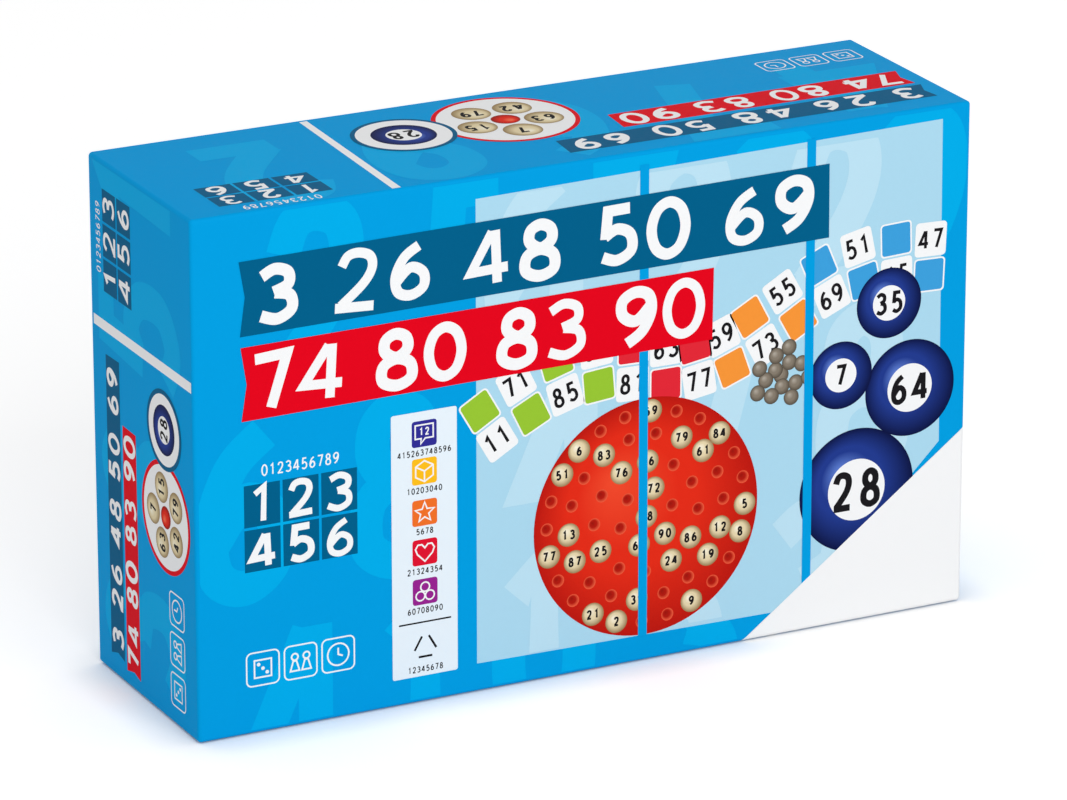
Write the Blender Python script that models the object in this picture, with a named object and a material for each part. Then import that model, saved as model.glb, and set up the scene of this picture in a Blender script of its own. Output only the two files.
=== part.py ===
"""Automatic bingo game in its lift-off card box, standing on its long side.

Metres, +Z up. The origin is the middle of the box's underside, +X runs along the box and -Y
is the way its big printed panel faces. The box is made to its contents: a moulded tray holds
the peg dispenser, the number board with its pegs, the cards and the counters.
"""

import math

import bmesh
import bpy
from mathutils import Vector

# Gaps between loose pieces
SEAT = 0.0003
RUNNING = 0.0004
CUT_OVERRUN = 0.002
SAME_POINT = 0.000005
SHARP_DEGREES = 35

# Number pegs: a straight stem under a ball with a small flat for the number
PEG_STEM = 0.0114
PEG_STEM_RADIUS = 0.0041
PEG_CHAMFER = 0.0005
PEG_BALL_RADIUS = 0.0051
PEG_FLAT_RADIUS = 0.0016
PEG_SIDES = 8
DRAWN_PEG_SIDES = 16
BALL_RINGS = 5
DRAWN_BALL_RINGS = 8

# Number board: two blocks of five columns, nine rows of sockets
BLOCK_COLUMNS = 5
BOARD_ROWS = 9
COLUMN_PITCH = 0.0135
ROW_PITCH = 0.0126
BLOCK_GAP = 0.027
BOARD_SIDE_MARGIN = 0.0185
BOARD_END_MARGIN = 0.0146
BOARD_CORNER = 0.010
BOARD_WALL = 0.002
BOARD_STEP = 0.0022
BOARD_FOOT = 0.005
BOARD_EDGE = 0.0012
SOCKET_PLAY = 0.0003
BACK_PLATE = 0.0012
CALLED_NUMBERS = (1, 5, 9, 12, 18, 20, 23, 26, 30, 31, 37, 39, 44, 45, 48, 51, 56, 60, 62, 64, 67, 73, 76, 80,
                  82, 85, 88, 90)
DRAWN_NUMBER = 79

# Dispenser: a hopper that slides up and down in a sleeve, over a fixed plunger
TURNED_SIDES = 32
HOPPER_RADIUS = 0.0358
HOPPER_WALL = 0.0016
HOPPER_SHOWS = 0.012
SLEEVE_HEIGHT = 0.105
SLEEVE_WALL = 0.002
SLEEVE_FLOOR = 0.002
SLEEVE_LIP = 0.0008
FOOT_HEIGHT = 0.006
FOOT_FLARE = 0.0006
NOTCH_WIDTH = 0.026
NOTCH_DEPTH = 0.038
NOTCH_STEPS = 8
FUNNEL_LOW = 0.0645
FUNNEL_RISE = 0.006
FUNNEL_FLOOR = 0.0016
TUBE_PLAY = 0.0007
TUBE_WALL = 0.0016
TUBE_TOP_GAP = 0.0003
WINDOW_PLAY = 0.0003
WINDOW_SILL = 0.0003
WINDOW_HEADROOM = 0.002
CAP_THICKNESS = 0.003
CAP_OVERHANG = 0.0008
CAP_BEVEL = 0.0011
CAP_HOLE_PLAY = 0.0009
CAP_PLUG = 0.004
CAP_PLUG_WALL = 0.0014
CAP_TRAVEL = 0.012
ROD_SIDES = 16
ROD_RADIUS = 0.0035
ROD_CUP = 0.0006
ROD_CUP_RIM = 0.0008
ROD_FOOT_RADIUS = 0.008
ROD_FOOT_HEIGHT = 0.0023
BOSS_WALL = 0.0015
BOSS_HEIGHT = 0.003
PEG_SHOWS = 0.008

# Cards and the folded rules sheet under them
CARD_COUNT = 12
CARD_LENGTH = 0.150
CARD_WIDTH = 0.060
CARD_THICKNESS = 0.0015
CARD_CORNER = 0.003
SHEET_MARGIN = 0.002
SHEET_PAPER = 0.0002
SHEET_FOLD = 0.0004

# Counters, in rolls
ROLL_COUNT = 3
COUNTERS_PER_ROLL = 10
COUNTER_RADIUS = 0.0079
COUNTER_THICKNESS = 0.0013
COUNTER_EDGE = 0.0003
COUNTER_SIDES = 12

# Moulded tray
TRAY_WALL = 0.0008
TRAY_LIP = 0.008
TRAY_DROP = 0.0006
EDGE_LAND = 0.0052
BETWEEN_LAND = 0.007
END_LAND = 0.0015
TROUGH_RISE = 0.0013
TROUGH_STEPS = 16
TOP_PLAY = 0.0005
PEG_HEADROOM = 0.0015
COUNTER_HEADROOM = 0.001
WELL_CORNER = 0.003
SCOOP_WIDTH = 0.024
SCOOP_REACH = 0.010
SCOOP_DEPTH = 0.014
CARD_FINGER_GAP = 0.014

# Card box: base inside a lid of the full depth
LID_BOARD = 0.0016
BASE_BOARD = 0.0016
BOX_FIT = 0.0004
LID_FOLD = 0.002
BASE_FOLD = 0.001
CORNER_STEPS = 3

# Pegs and board worked out from the values above
PEG_BALL_CENTRE = PEG_STEM + math.sqrt(PEG_BALL_RADIUS**2 - PEG_STEM_RADIUS**2)
PEG_LENGTH = PEG_BALL_CENTRE + math.sqrt(PEG_BALL_RADIUS**2 - PEG_FLAT_RADIUS**2)
SOCKET_RADIUS = PEG_STEM_RADIUS + SOCKET_PLAY
BLOCK_WIDTH = (BLOCK_COLUMNS - 1) * COLUMN_PITCH
BOARD_WIDTH = 2 * (BOARD_SIDE_MARGIN + BLOCK_WIDTH) + BLOCK_GAP
BOARD_HEIGHT = 2 * BOARD_END_MARGIN + (BOARD_ROWS - 1) * ROW_PITCH
BOARD_DEPTH = BACK_PLATE + RUNNING + PEG_STEM

# Dispenser worked out: heights are above its own foot
SLEEVE_BORE = HOPPER_RADIUS + RUNNING
SLEEVE_RADIUS = SLEEVE_BORE + SLEEVE_WALL
FOOT_RADIUS = SLEEVE_RADIUS + FOOT_FLARE
HOPPER_BORE = HOPPER_RADIUS - HOPPER_WALL
HOPPER_TOP = SLEEVE_HEIGHT + HOPPER_SHOWS
CAP_UNDERSIDE = HOPPER_TOP + SEAT
CAP_TOP = CAP_UNDERSIDE + CAP_THICKNESS
TUBE_BORE = PEG_BALL_RADIUS + TUBE_PLAY
DRAWN_PEG_FOOT = CAP_TOP + PEG_SHOWS - PEG_LENGTH
ROD_TIP = DRAWN_PEG_FOOT - SEAT
STROKE = ROD_TIP - FUNNEL_LOW - SEAT

# Tray and box worked out, as they lie on the back panel: heights are above the table
TRAY_SEAT = BASE_BOARD + SEAT
TRAY_BED = TRAY_SEAT + TRAY_WALL
TROUGH_RADIUS = FOOT_RADIUS + RUNNING
TROUGH_LENGTH = SEAT + CAP_TOP + STROKE + CAP_TRAVEL + TOP_PLAY
DISPENSER_AXIS_HEIGHT = TRAY_BED + TROUGH_RADIUS
TRAY_TOP = TRAY_BED + 2 * TROUGH_RADIUS + TROUGH_RISE
BASE_RIM = TRAY_TOP + TRAY_DROP
BOX_DEPTH = BASE_RIM + BOX_FIT + LID_BOARD
BOARD_BED = TRAY_TOP - PEG_HEADROOM - (PEG_LENGTH - PEG_STEM) - BOARD_DEPTH - SEAT
CARD_PITCH = CARD_THICKNESS + SEAT
SHEET_THICKNESS = 2 * SHEET_PAPER + SHEET_FOLD
CARD_BED = BOARD_BED - SEAT - CARD_COUNT * CARD_PITCH - SHEET_THICKNESS - SEAT
ROLL_LENGTH = COUNTERS_PER_ROLL * COUNTER_THICKNESS
COUNTER_TROUGH_RADIUS = COUNTER_RADIUS + RUNNING
COUNTER_TROUGH_LENGTH = ROLL_COUNT * (ROLL_LENGTH + SEAT) + SEAT
COUNTER_AXIS_HEIGHT = TRAY_TOP - COUNTER_HEADROOM - COUNTER_RADIUS
BOARD_WELL_WIDTH = BOARD_WIDTH + 2 * SEAT
BOARD_WELL_HEIGHT = BOARD_HEIGHT + 2 * SEAT
WELLS_WIDTH = 2 * TROUGH_RADIUS + BOARD_WELL_WIDTH + 2 * COUNTER_TROUGH_RADIUS + 2 * BETWEEN_LAND
TRAY_WIDTH = WELLS_WIDTH + 2 * EDGE_LAND
TRAY_HEIGHT = TROUGH_LENGTH + 2 * END_LAND
BASE_WIDTH = TRAY_WIDTH + 2 * (BOX_FIT + BASE_BOARD)
BASE_HEIGHT = TRAY_HEIGHT + 2 * (BOX_FIT + BASE_BOARD)
BOX_WIDTH = BASE_WIDTH + 2 * (BOX_FIT + LID_BOARD)
BOX_HEIGHT = BASE_HEIGHT + 2 * (BOX_FIT + LID_BOARD)
DISPENSER_X = TRAY_WIDTH / 2 - EDGE_LAND - TROUGH_RADIUS
DISPENSER_FOOT_Y = -TROUGH_LENGTH / 2 + SEAT
BOARD_X = DISPENSER_X - TROUGH_RADIUS - BETWEEN_LAND - BOARD_WELL_WIDTH / 2
COUNTER_X = BOARD_X - BOARD_WELL_WIDTH / 2 - BETWEEN_LAND - COUNTER_TROUGH_RADIUS
CARD_WELL_LENGTH = CARD_LENGTH + CARD_FINGER_GAP + 2 * SEAT
CARD_WELL_WIDTH = CARD_WIDTH + 2 * SEAT
CARD_X = BOARD_X - CARD_FINGER_GAP / 2

# Colours, linear
NAVY_PLASTIC = (0.010, 0.022, 0.155, 1)
ROYAL_PLASTIC = (0.012, 0.045, 0.270, 1)
RED_PLASTIC = (0.720, 0.020, 0.010, 1)
IVORY_PLASTIC = (0.760, 0.660, 0.440, 1)
TRAY_PLASTIC = (0.780, 0.790, 0.800, 1)
SMOKE_PLASTIC = (0.270, 0.230, 0.190, 1)
BLUE_PRINT = (0.000, 0.340, 0.740, 1)
BARE_BOARD = (0.560, 0.530, 0.480, 1)
WHITE_CARD = (0.860, 0.860, 0.840, 1)
WHITE_PAPER = (0.820, 0.820, 0.800, 1)


def material(name, colour, roughness):
    made = bpy.data.materials.get(name) or bpy.data.materials.new(name)
    made.use_nodes = True
    shader = made.node_tree.nodes["Principled BSDF"]
    shader.inputs["Base Color"].default_value = colour
    shader.inputs["Roughness"].default_value = roughness
    shader.inputs["Metallic"].default_value = 0
    return made


def empty(name, parent, location, turn):
    made = bpy.data.objects.new(name, None)
    made.parent = parent
    made.location = location
    made.rotation_euler = (turn, 0, 0)
    bpy.context.scene.collection.objects.link(made)
    return made


def place(name, bm, paint, parent, location, smooth=False):
    """One object from a bmesh, with its normals facing out."""
    bmesh.ops.recalc_face_normals(bm, faces=bm.faces)
    mesh = bpy.data.meshes.new(name)
    bm.to_mesh(mesh)
    bm.free()
    if smooth:
        mesh.shade_smooth()
        mesh.set_sharp_from_angle(angle=math.radians(SHARP_DEGREES))
    if paint:
        mesh.materials.append(paint)
    made = bpy.data.objects.new(name, mesh)
    made.parent = parent
    made.location = location
    bpy.context.scene.collection.objects.link(made)
    return made


def combine(target, operation, tool):
    """Cut a tool from an object or join it on, and keep the tool out of the part."""
    tool.hide_render = True
    tool.display_type = "WIRE"
    modifier = target.modifiers.new(tool.name, "BOOLEAN")
    modifier.operation = operation
    modifier.solver = "EXACT"
    modifier.object = tool


def rounded_rectangle(width, height, radius, steps=CORNER_STEPS):
    """Points of a rectangle with round corners, anticlockwise about its middle."""
    points = []
    for quarter, (side, end) in enumerate(((1, 1), (-1, 1), (-1, -1), (1, -1))):
        centre_x = side * (width / 2 - radius)
        centre_y = end * (height / 2 - radius)
        for step in range(steps + 1):
            angle = (quarter + step / steps) * math.pi / 2
            points.append((centre_x + radius * math.cos(angle), centre_y + radius * math.sin(angle)))
    return points


def trough_outline(radius, height):
    """A half round bottom with straight walls up to a height above its centre."""
    points = [(radius, height)]
    for step in range(TROUGH_STEPS + 1):
        angle = -math.pi * step / TROUGH_STEPS
        points.append((radius * math.cos(angle), radius * math.sin(angle)))
    points.append((-radius, height))
    return points


def loft(rings):
    """A closed body through rings of equal counts of points, with flat ends."""
    bm = bmesh.new()
    loops = [[bm.verts.new(point) for point in ring] for ring in rings]
    for lower, upper in zip(loops, loops[1:]):
        for i in range(len(lower)):
            bm.faces.new((lower[i - 1], lower[i], upper[i], upper[i - 1]))
    bm.faces.new(loops[0])
    bm.faces.new(loops[-1])
    return bm


def lying_ring(points, height):
    return [Vector((x, y, height)) for x, y in points]


def lying_prism(points, low, high):
    return loft([lying_ring(points, low), lying_ring(points, high)])


def long_prism(points, start, end):
    """An outline in X and Z, drawn out along Y."""
    return loft([[Vector((x, y, z)) for x, z in points] for y in (start, end)])


def turned(profile, sides):
    """A closed profile of radii and heights, spun round the Z axis."""
    bm = bmesh.new()
    verts = [bm.verts.new((radius, 0, height)) for radius, height in profile]
    edges = [bm.edges.new((verts[i - 1], verts[i])) for i in range(len(verts))]
    bmesh.ops.spin(
        bm, geom=verts + edges, cent=(0, 0, 0), axis=(0, 0, 1), angle=math.tau, steps=sides, use_merge=True
    )
    bmesh.ops.remove_doubles(bm, verts=bm.verts, dist=SAME_POINT)
    on_axis = [edge for edge in bm.edges if not edge.link_faces]
    bmesh.ops.delete(bm, geom=on_axis, context="EDGES")
    return bm


def open_box(width, height, outer_low, outer_high, wall, fold, opens_up):
    """Five folded panels: the closed one has round folds, and the other end is open."""
    closed, rim = (outer_low, outer_high) if opens_up else (outer_high, outer_low)
    inward = 1 if opens_up else -1
    inner = rounded_rectangle(width - 2 * wall, height - 2 * wall, fold / 2)
    rings = [lying_ring(inner, closed + inward * wall), lying_ring(inner, rim)]
    rings.append(lying_ring(rounded_rectangle(width, height, fold), rim))
    for step in range(CORNER_STEPS + 1):
        angle = math.pi / 2 * step / CORNER_STEPS
        inset = fold * (1 - math.cos(angle))
        corner = fold * (1 - step / (2 * CORNER_STEPS))
        around = rounded_rectangle(width - 2 * inset, height - 2 * inset, corner)
        rings.append(lying_ring(around, closed + inward * fold * (1 - math.sin(angle))))
    return loft(rings)


def peg_profile(ball_rings):
    profile = [(0, 0), (PEG_STEM_RADIUS - PEG_CHAMFER, 0), (PEG_STEM_RADIUS, PEG_CHAMFER)]
    first = -math.acos(PEG_STEM_RADIUS / PEG_BALL_RADIUS)
    last = math.acos(PEG_FLAT_RADIUS / PEG_BALL_RADIUS)
    for ring in range(ball_rings):
        angle = first + (last - first) * ring / (ball_rings - 1)
        height = PEG_BALL_CENTRE + PEG_BALL_RADIUS * math.sin(angle)
        profile.append((PEG_BALL_RADIUS * math.cos(angle), height))
    profile.append((0, PEG_LENGTH))
    return profile


def socket_place(number):
    """Where a number's socket is on the board: tens down the rows, units along them."""
    row, unit = divmod(number - 1, 2 * BLOCK_COLUMNS)
    block, column = divmod(unit, BLOCK_COLUMNS)
    x = -BLOCK_GAP / 2 - BLOCK_WIDTH + column * COLUMN_PITCH + block * (BLOCK_WIDTH + BLOCK_GAP)
    y = ((BOARD_ROWS - 1) / 2 - row) * ROW_PITCH
    return x, y


def make_box(lying):
    """The base, a shallow card tray as wide as the lid's inside, and the lid over it."""
    blue = material("blue_printed_board", BLUE_PRINT, 0.3)
    grey = material("bare_board", BARE_BOARD, 0.7)
    base = open_box(BASE_WIDTH, BASE_HEIGHT, 0, BASE_RIM, BASE_BOARD, BASE_FOLD, opens_up=True)
    place("box_base", base, grey, lying, (0, 0, 0))
    lid = open_box(BOX_WIDTH, BOX_HEIGHT, 0, BOX_DEPTH, LID_BOARD, LID_FOLD, opens_up=False)
    place("box_lid", lid, blue, lying, (0, 0, 0))


def well(tray, name, outer, inner):
    """A sunk cell of the tray: its outer skin is joined on and its inside cut out."""
    lying = tray.parent
    combine(tray, "UNION", place(name + "_skin", outer, None, lying, (0, 0, 0)))
    return place(name + "_hollow", inner, None, lying, (0, 0, 0))


def round_well(tray, name, x, axis_height, radius, length):
    top = TRAY_TOP - axis_height
    skin = trough_outline(radius + TRAY_WALL, top - TRAY_WALL / 2)
    hollow = trough_outline(radius, top + CUT_OVERRUN)
    outer = long_prism(skin, -length / 2 - TRAY_WALL, length / 2 + TRAY_WALL)
    inner = long_prism(hollow, -length / 2, length / 2)
    for shape in (outer, inner):
        bmesh.ops.translate(shape, vec=(x, 0, axis_height), verts=shape.verts)
    return well(tray, name, outer, inner)


def square_well(tray, name, centre, size, bed, top, corner=WELL_CORNER):
    x, y = centre
    width, height = size
    skin = rounded_rectangle(width + 2 * TRAY_WALL, height + 2 * TRAY_WALL, corner + TRAY_WALL)
    outer = lying_prism(skin, bed - TRAY_WALL, top - TRAY_WALL / 2)
    inner = lying_prism(rounded_rectangle(width, height, corner), bed, top + CUT_OVERRUN)
    for shape in (outer, inner):
        bmesh.ops.translate(shape, vec=(x, y, 0), verts=shape.verts)
    return well(tray, name, outer, inner)


def make_tray(lying):
    """One moulded sheet: a flat top with a lip round it, and a well for each thing it holds."""
    white = material("tray_plastic", TRAY_PLASTIC, 0.35)
    lip_foot = TRAY_TOP - TRAY_LIP
    sheet = open_box(TRAY_WIDTH, TRAY_HEIGHT, lip_foot, TRAY_TOP, TRAY_WALL, TRAY_WALL, opens_up=False)
    tray = place("moulded_tray", sheet, white, lying, (0, 0, 0))
    scoop_y = BOARD_WELL_HEIGHT / 2
    scoop_size = (SCOOP_WIDTH, 2 * SCOOP_REACH)
    scoop_bed = TRAY_TOP - SCOOP_DEPTH
    board_size = (BOARD_WELL_WIDTH, BOARD_WELL_HEIGHT)
    card_size = (CARD_WELL_LENGTH, CARD_WELL_WIDTH)
    hollows = [
        round_well(tray, "dispenser_well", DISPENSER_X, DISPENSER_AXIS_HEIGHT, TROUGH_RADIUS, TROUGH_LENGTH),
        round_well(
            tray, "counter_well", COUNTER_X, COUNTER_AXIS_HEIGHT, COUNTER_TROUGH_RADIUS, COUNTER_TROUGH_LENGTH
        ),
        square_well(tray, "board_well", (BOARD_X, 0), board_size, BOARD_BED, TRAY_TOP, BOARD_CORNER),
        square_well(tray, "card_well", (BOARD_X, 0), card_size, CARD_BED, BOARD_BED),
        square_well(tray, "upper_scoop", (BOARD_X, scoop_y), scoop_size, scoop_bed, TRAY_TOP),
        square_well(tray, "lower_scoop", (BOARD_X, -scoop_y), scoop_size, scoop_bed, TRAY_TOP),
    ]
    for hollow in hollows:
        combine(tray, "DIFFERENCE", hollow)


def make_board(lying):
    """The board's moulded shell with its 90 sockets, the plate that closes it, and its pegs."""
    red = material("red_plastic", RED_PLASTIC, 0.15)
    full = (BOARD_WIDTH, BOARD_HEIGHT, BOARD_CORNER)
    raised = tuple(size - 2 * BOARD_STEP for size in full[:2]) + (BOARD_CORNER - BOARD_STEP,)
    top = tuple(size - 2 * BOARD_EDGE for size in raised[:2]) + (raised[2] - BOARD_EDGE,)
    inside = tuple(size - 2 * BOARD_WALL for size in raised[:2]) + (raised[2] - BOARD_WALL,)
    levels = (
        (inside, BOARD_DEPTH - BOARD_WALL),
        (inside, 0),
        (full, 0),
        (full, BOARD_FOOT),
        (raised, BOARD_FOOT + BOARD_EDGE),
        (raised, BOARD_DEPTH - BOARD_EDGE),
        (top, BOARD_DEPTH),
    )
    shell = loft([lying_ring(rounded_rectangle(*size), height) for size, height in levels])
    board = place("number_board", shell, red, lying, (BOARD_X, 0, BOARD_BED + SEAT))
    combine(board, "DIFFERENCE", place("socket_cutters", socket_cutters(), None, board, (0, 0, 0)))
    plate = rounded_rectangle(inside[0] - 2 * SEAT, inside[1] - 2 * SEAT, inside[2])
    place("board_back_plate", lying_prism(plate, 0, BACK_PLATE), red, board, (0, 0, 0))
    ivory = material("ivory_plastic", IVORY_PLASTIC, 0.25)
    for number in CALLED_NUMBERS:
        x, y = socket_place(number)
        peg = turned(peg_profile(BALL_RINGS), PEG_SIDES)
        place(f"peg_{number:02}", peg, ivory, board, (x, y, BOARD_DEPTH - PEG_STEM), smooth=True)


def socket_cutters():
    bm = bmesh.new()
    low = BOARD_DEPTH - BOARD_WALL - CUT_OVERRUN
    high = BOARD_DEPTH + CUT_OVERRUN
    for number in range(1, 2 * BLOCK_COLUMNS * BOARD_ROWS + 1):
        x, y = socket_place(number)
        rings = []
        for height in (low, high):
            angles = [math.tau * side / PEG_SIDES for side in range(PEG_SIDES)]
            outline = [(SOCKET_RADIUS * math.cos(angle), SOCKET_RADIUS * math.sin(angle)) for angle in angles]
            rings.append([bm.verts.new((x + across, y + along, height)) for across, along in outline])
        for i in range(PEG_SIDES):
            bm.faces.new((rings[0][i - 1], rings[0][i], rings[1][i], rings[1][i - 1]))
        bm.faces.new(rings[0])
        bm.faces.new(rings[1])
    return bm


def make_sleeve(stand):
    """The outer cup: a flared foot, a boss for the plunger and a thumb notch at the front."""
    boss_bore = ROD_FOOT_RADIUS + SEAT
    boss = boss_bore + BOSS_WALL
    profile = (
        (0, 0),
        (FOOT_RADIUS, 0),
        (FOOT_RADIUS, FOOT_HEIGHT),
        (SLEEVE_RADIUS, FOOT_HEIGHT + FOOT_FLARE),
        (SLEEVE_RADIUS, SLEEVE_HEIGHT - SLEEVE_LIP),
        (SLEEVE_RADIUS - SLEEVE_LIP, SLEEVE_HEIGHT),
        (SLEEVE_BORE, SLEEVE_HEIGHT),
        (SLEEVE_BORE, SLEEVE_FLOOR),
        (boss, SLEEVE_FLOOR),
        (boss, SLEEVE_FLOOR + BOSS_HEIGHT),
        (boss_bore, SLEEVE_FLOOR + BOSS_HEIGHT),
        (boss_bore, SLEEVE_FLOOR),
        (0, SLEEVE_FLOOR),
    )
    navy = material("navy_plastic", NAVY_PLASTIC, 0.12)
    sleeve = place("dispenser_sleeve", turned(profile, TURNED_SIDES), navy, stand, (0, 0, 0), smooth=True)
    radius = NOTCH_WIDTH / 2
    centre = SLEEVE_HEIGHT - NOTCH_DEPTH + radius
    notch = [(radius, SLEEVE_HEIGHT + CUT_OVERRUN)]
    for step in range(NOTCH_STEPS + 1):
        angle = -math.pi * step / NOTCH_STEPS
        notch.append((radius * math.cos(angle), centre + radius * math.sin(angle)))
    notch.append((-radius, SLEEVE_HEIGHT + CUT_OVERRUN))
    cutter = long_prism(notch, -SLEEVE_RADIUS - CUT_OVERRUN, -SLEEVE_RADIUS / 2)
    combine(sleeve, "DIFFERENCE", place("notch_cutter", cutter, None, stand, (0, 0, 0)))


def make_plunger(stand):
    """The fixed rod: its foot sits in the sleeve's boss and its cupped tip carries the next peg."""
    foot = SLEEVE_FLOOR + SEAT
    profile = (
        (0, foot),
        (ROD_FOOT_RADIUS, foot),
        (ROD_FOOT_RADIUS, foot + ROD_FOOT_HEIGHT),
        (ROD_RADIUS, foot + ROD_FOOT_HEIGHT),
        (ROD_RADIUS, ROD_TIP),
        (ROD_RADIUS - ROD_CUP_RIM, ROD_TIP),
        (0, ROD_TIP - ROD_CUP),
    )
    royal = material("royal_plastic", ROYAL_PLASTIC, 0.15)
    place("plunger_rod", turned(profile, ROD_SIDES), royal, stand, (0, 0, 0), smooth=True)


def make_hopper(stand):
    """The sliding hopper: a skirt, a funnel floor and the tube that the pegs rise in."""
    tube = TUBE_BORE + TUBE_WALL
    tube_top = HOPPER_TOP - TUBE_TOP_GAP
    skirt_foot = SLEEVE_FLOOR + SEAT
    rod_hole = ROD_RADIUS + RUNNING
    funnel_edge = FUNNEL_LOW + FUNNEL_RISE
    profile = (
        (HOPPER_RADIUS, skirt_foot),
        (HOPPER_RADIUS, HOPPER_TOP),
        (HOPPER_BORE, HOPPER_TOP),
        (HOPPER_BORE, funnel_edge),
        (tube, FUNNEL_LOW),
        (tube, tube_top),
        (TUBE_BORE, tube_top),
        (TUBE_BORE, FUNNEL_LOW),
        (rod_hole, FUNNEL_LOW),
        (rod_hole, FUNNEL_LOW - FUNNEL_FLOOR),
        (tube, FUNNEL_LOW - FUNNEL_FLOOR),
        (HOPPER_BORE, funnel_edge - FUNNEL_FLOOR),
        (HOPPER_BORE, skirt_foot),
    )
    royal = material("royal_plastic", ROYAL_PLASTIC, 0.15)
    hopper = place("hopper", turned(profile, TURNED_SIDES), royal, stand, (0, 0, 0), smooth=True)
    half = PEG_BALL_RADIUS + WINDOW_PLAY
    low = FUNNEL_LOW - WINDOW_SILL
    high = FUNNEL_LOW + PEG_LENGTH + WINDOW_HEADROOM
    opening = [(half, high), (-half, high), (-half, low), (half, low)]
    reach = tube + CUT_OVERRUN
    windows = place("window_cutter", long_prism(opening, -reach, reach), None, stand, (0, 0, 0))
    combine(hopper, "DIFFERENCE", windows)


def make_cap(stand):
    """The cap: a bevelled disc with the peg's hole, and a ring that plugs into the hopper."""
    hole = PEG_BALL_RADIUS + CAP_HOLE_PLAY
    plug = HOPPER_BORE - RUNNING
    rim = HOPPER_RADIUS + CAP_OVERHANG
    profile = (
        (hole, CAP_UNDERSIDE),
        (plug - CAP_PLUG_WALL, CAP_UNDERSIDE),
        (plug - CAP_PLUG_WALL, CAP_UNDERSIDE - CAP_PLUG),
        (plug, CAP_UNDERSIDE - CAP_PLUG),
        (plug, CAP_UNDERSIDE),
        (rim, CAP_UNDERSIDE),
        (rim, CAP_TOP - CAP_BEVEL),
        (rim - CAP_BEVEL, CAP_TOP),
        (hole, CAP_TOP),
    )
    royal = material("royal_plastic", ROYAL_PLASTIC, 0.15)
    place("dispenser_cap", turned(profile, TURNED_SIDES), royal, stand, (0, 0, 0), smooth=True)


def make_drawn_peg(stand):
    """The peg just drawn, standing on the plunger's tip in the cap's hole."""
    ivory = material("ivory_plastic", IVORY_PLASTIC, 0.25)
    peg = turned(peg_profile(DRAWN_BALL_RINGS), DRAWN_PEG_SIDES)
    place(f"peg_{DRAWN_NUMBER}", peg, ivory, stand, (0, 0, DRAWN_PEG_FOOT), smooth=True)


def make_cards(lying):
    """The rules sheet, folded once, at the bottom of the well, and the cards stacked on it."""
    length = CARD_LENGTH - 2 * SHEET_MARGIN
    half = CARD_WIDTH / 2 - SHEET_MARGIN
    fold = [
        (-half, 0),
        (half, 0),
        (half, SHEET_PAPER),
        (-half + SHEET_PAPER, SHEET_PAPER),
        (-half + SHEET_PAPER, SHEET_PAPER + SHEET_FOLD),
        (half, SHEET_PAPER + SHEET_FOLD),
        (half, SHEET_THICKNESS),
        (-half, SHEET_THICKNESS),
    ]
    sheet = loft([[Vector((x, y, z)) for y, z in fold] for x in (-length / 2, length / 2)])
    paper = material("white_paper", WHITE_PAPER, 0.8)
    place("rules_sheet", sheet, paper, lying, (CARD_X, -SHEET_MARGIN, CARD_BED + SEAT))
    white = material("white_card", WHITE_CARD, 0.5)
    first = CARD_BED + SEAT + SHEET_THICKNESS + SEAT
    outline = rounded_rectangle(CARD_LENGTH, CARD_WIDTH, CARD_CORNER)
    for card in range(CARD_COUNT):
        prism = lying_prism(outline, 0, CARD_THICKNESS)
        place(f"card_{card + 1:02}", prism, white, lying, (CARD_X, 0, first + card * CARD_PITCH))


def make_counters(lying):
    """Rolls of counters, end to end in their trough, with a groove between one disc and the next."""
    profile = [(0, 0)]
    for counter in range(COUNTERS_PER_ROLL):
        height = counter * COUNTER_THICKNESS
        profile.append((COUNTER_RADIUS - COUNTER_EDGE, height))
        profile.append((COUNTER_RADIUS, height + COUNTER_THICKNESS / 2))
    profile.append((COUNTER_RADIUS - COUNTER_EDGE, ROLL_LENGTH))
    profile.append((0, ROLL_LENGTH))
    smoke = material("smoke_plastic", SMOKE_PLASTIC, 0.2)
    for roll in range(ROLL_COUNT):
        y = -COUNTER_TROUGH_LENGTH / 2 + SEAT + roll * (ROLL_LENGTH + SEAT)
        made = place(f"counter_roll_{roll + 1}", turned(profile, COUNTER_SIDES), smoke, lying,
                     (COUNTER_X, y, COUNTER_AXIS_HEIGHT), smooth=True)
        made.rotation_euler = (-math.pi / 2, 0, 0)


def main():
    for old in list(bpy.data.objects):
        bpy.data.objects.remove(old)
    # The game is laid out lying on its back panel, and this empty stands it on its long side
    lying = empty("box_stood_up", None, (0, BOX_DEPTH / 2, BOX_HEIGHT / 2), math.pi / 2)
    make_box(lying)
    make_tray(lying)
    make_board(lying)
    make_cards(lying)
    make_counters(lying)
    # The dispenser is upright again in the box that stands
    foot = (DISPENSER_X, DISPENSER_FOOT_Y, DISPENSER_AXIS_HEIGHT)
    stand = empty("dispenser_axis", lying, foot, -math.pi / 2)
    make_sleeve(stand)
    make_plunger(stand)
    make_hopper(stand)
    make_cap(stand)
    make_drawn_peg(stand)


main()
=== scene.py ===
"""Boxed automatic bingo game: a printed card box, with the dispenser, number board, cards and counters in it.

Metres, +Z up, with the box standing on its long side and its main panel facing -Y.
"""
import math
import random

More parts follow.
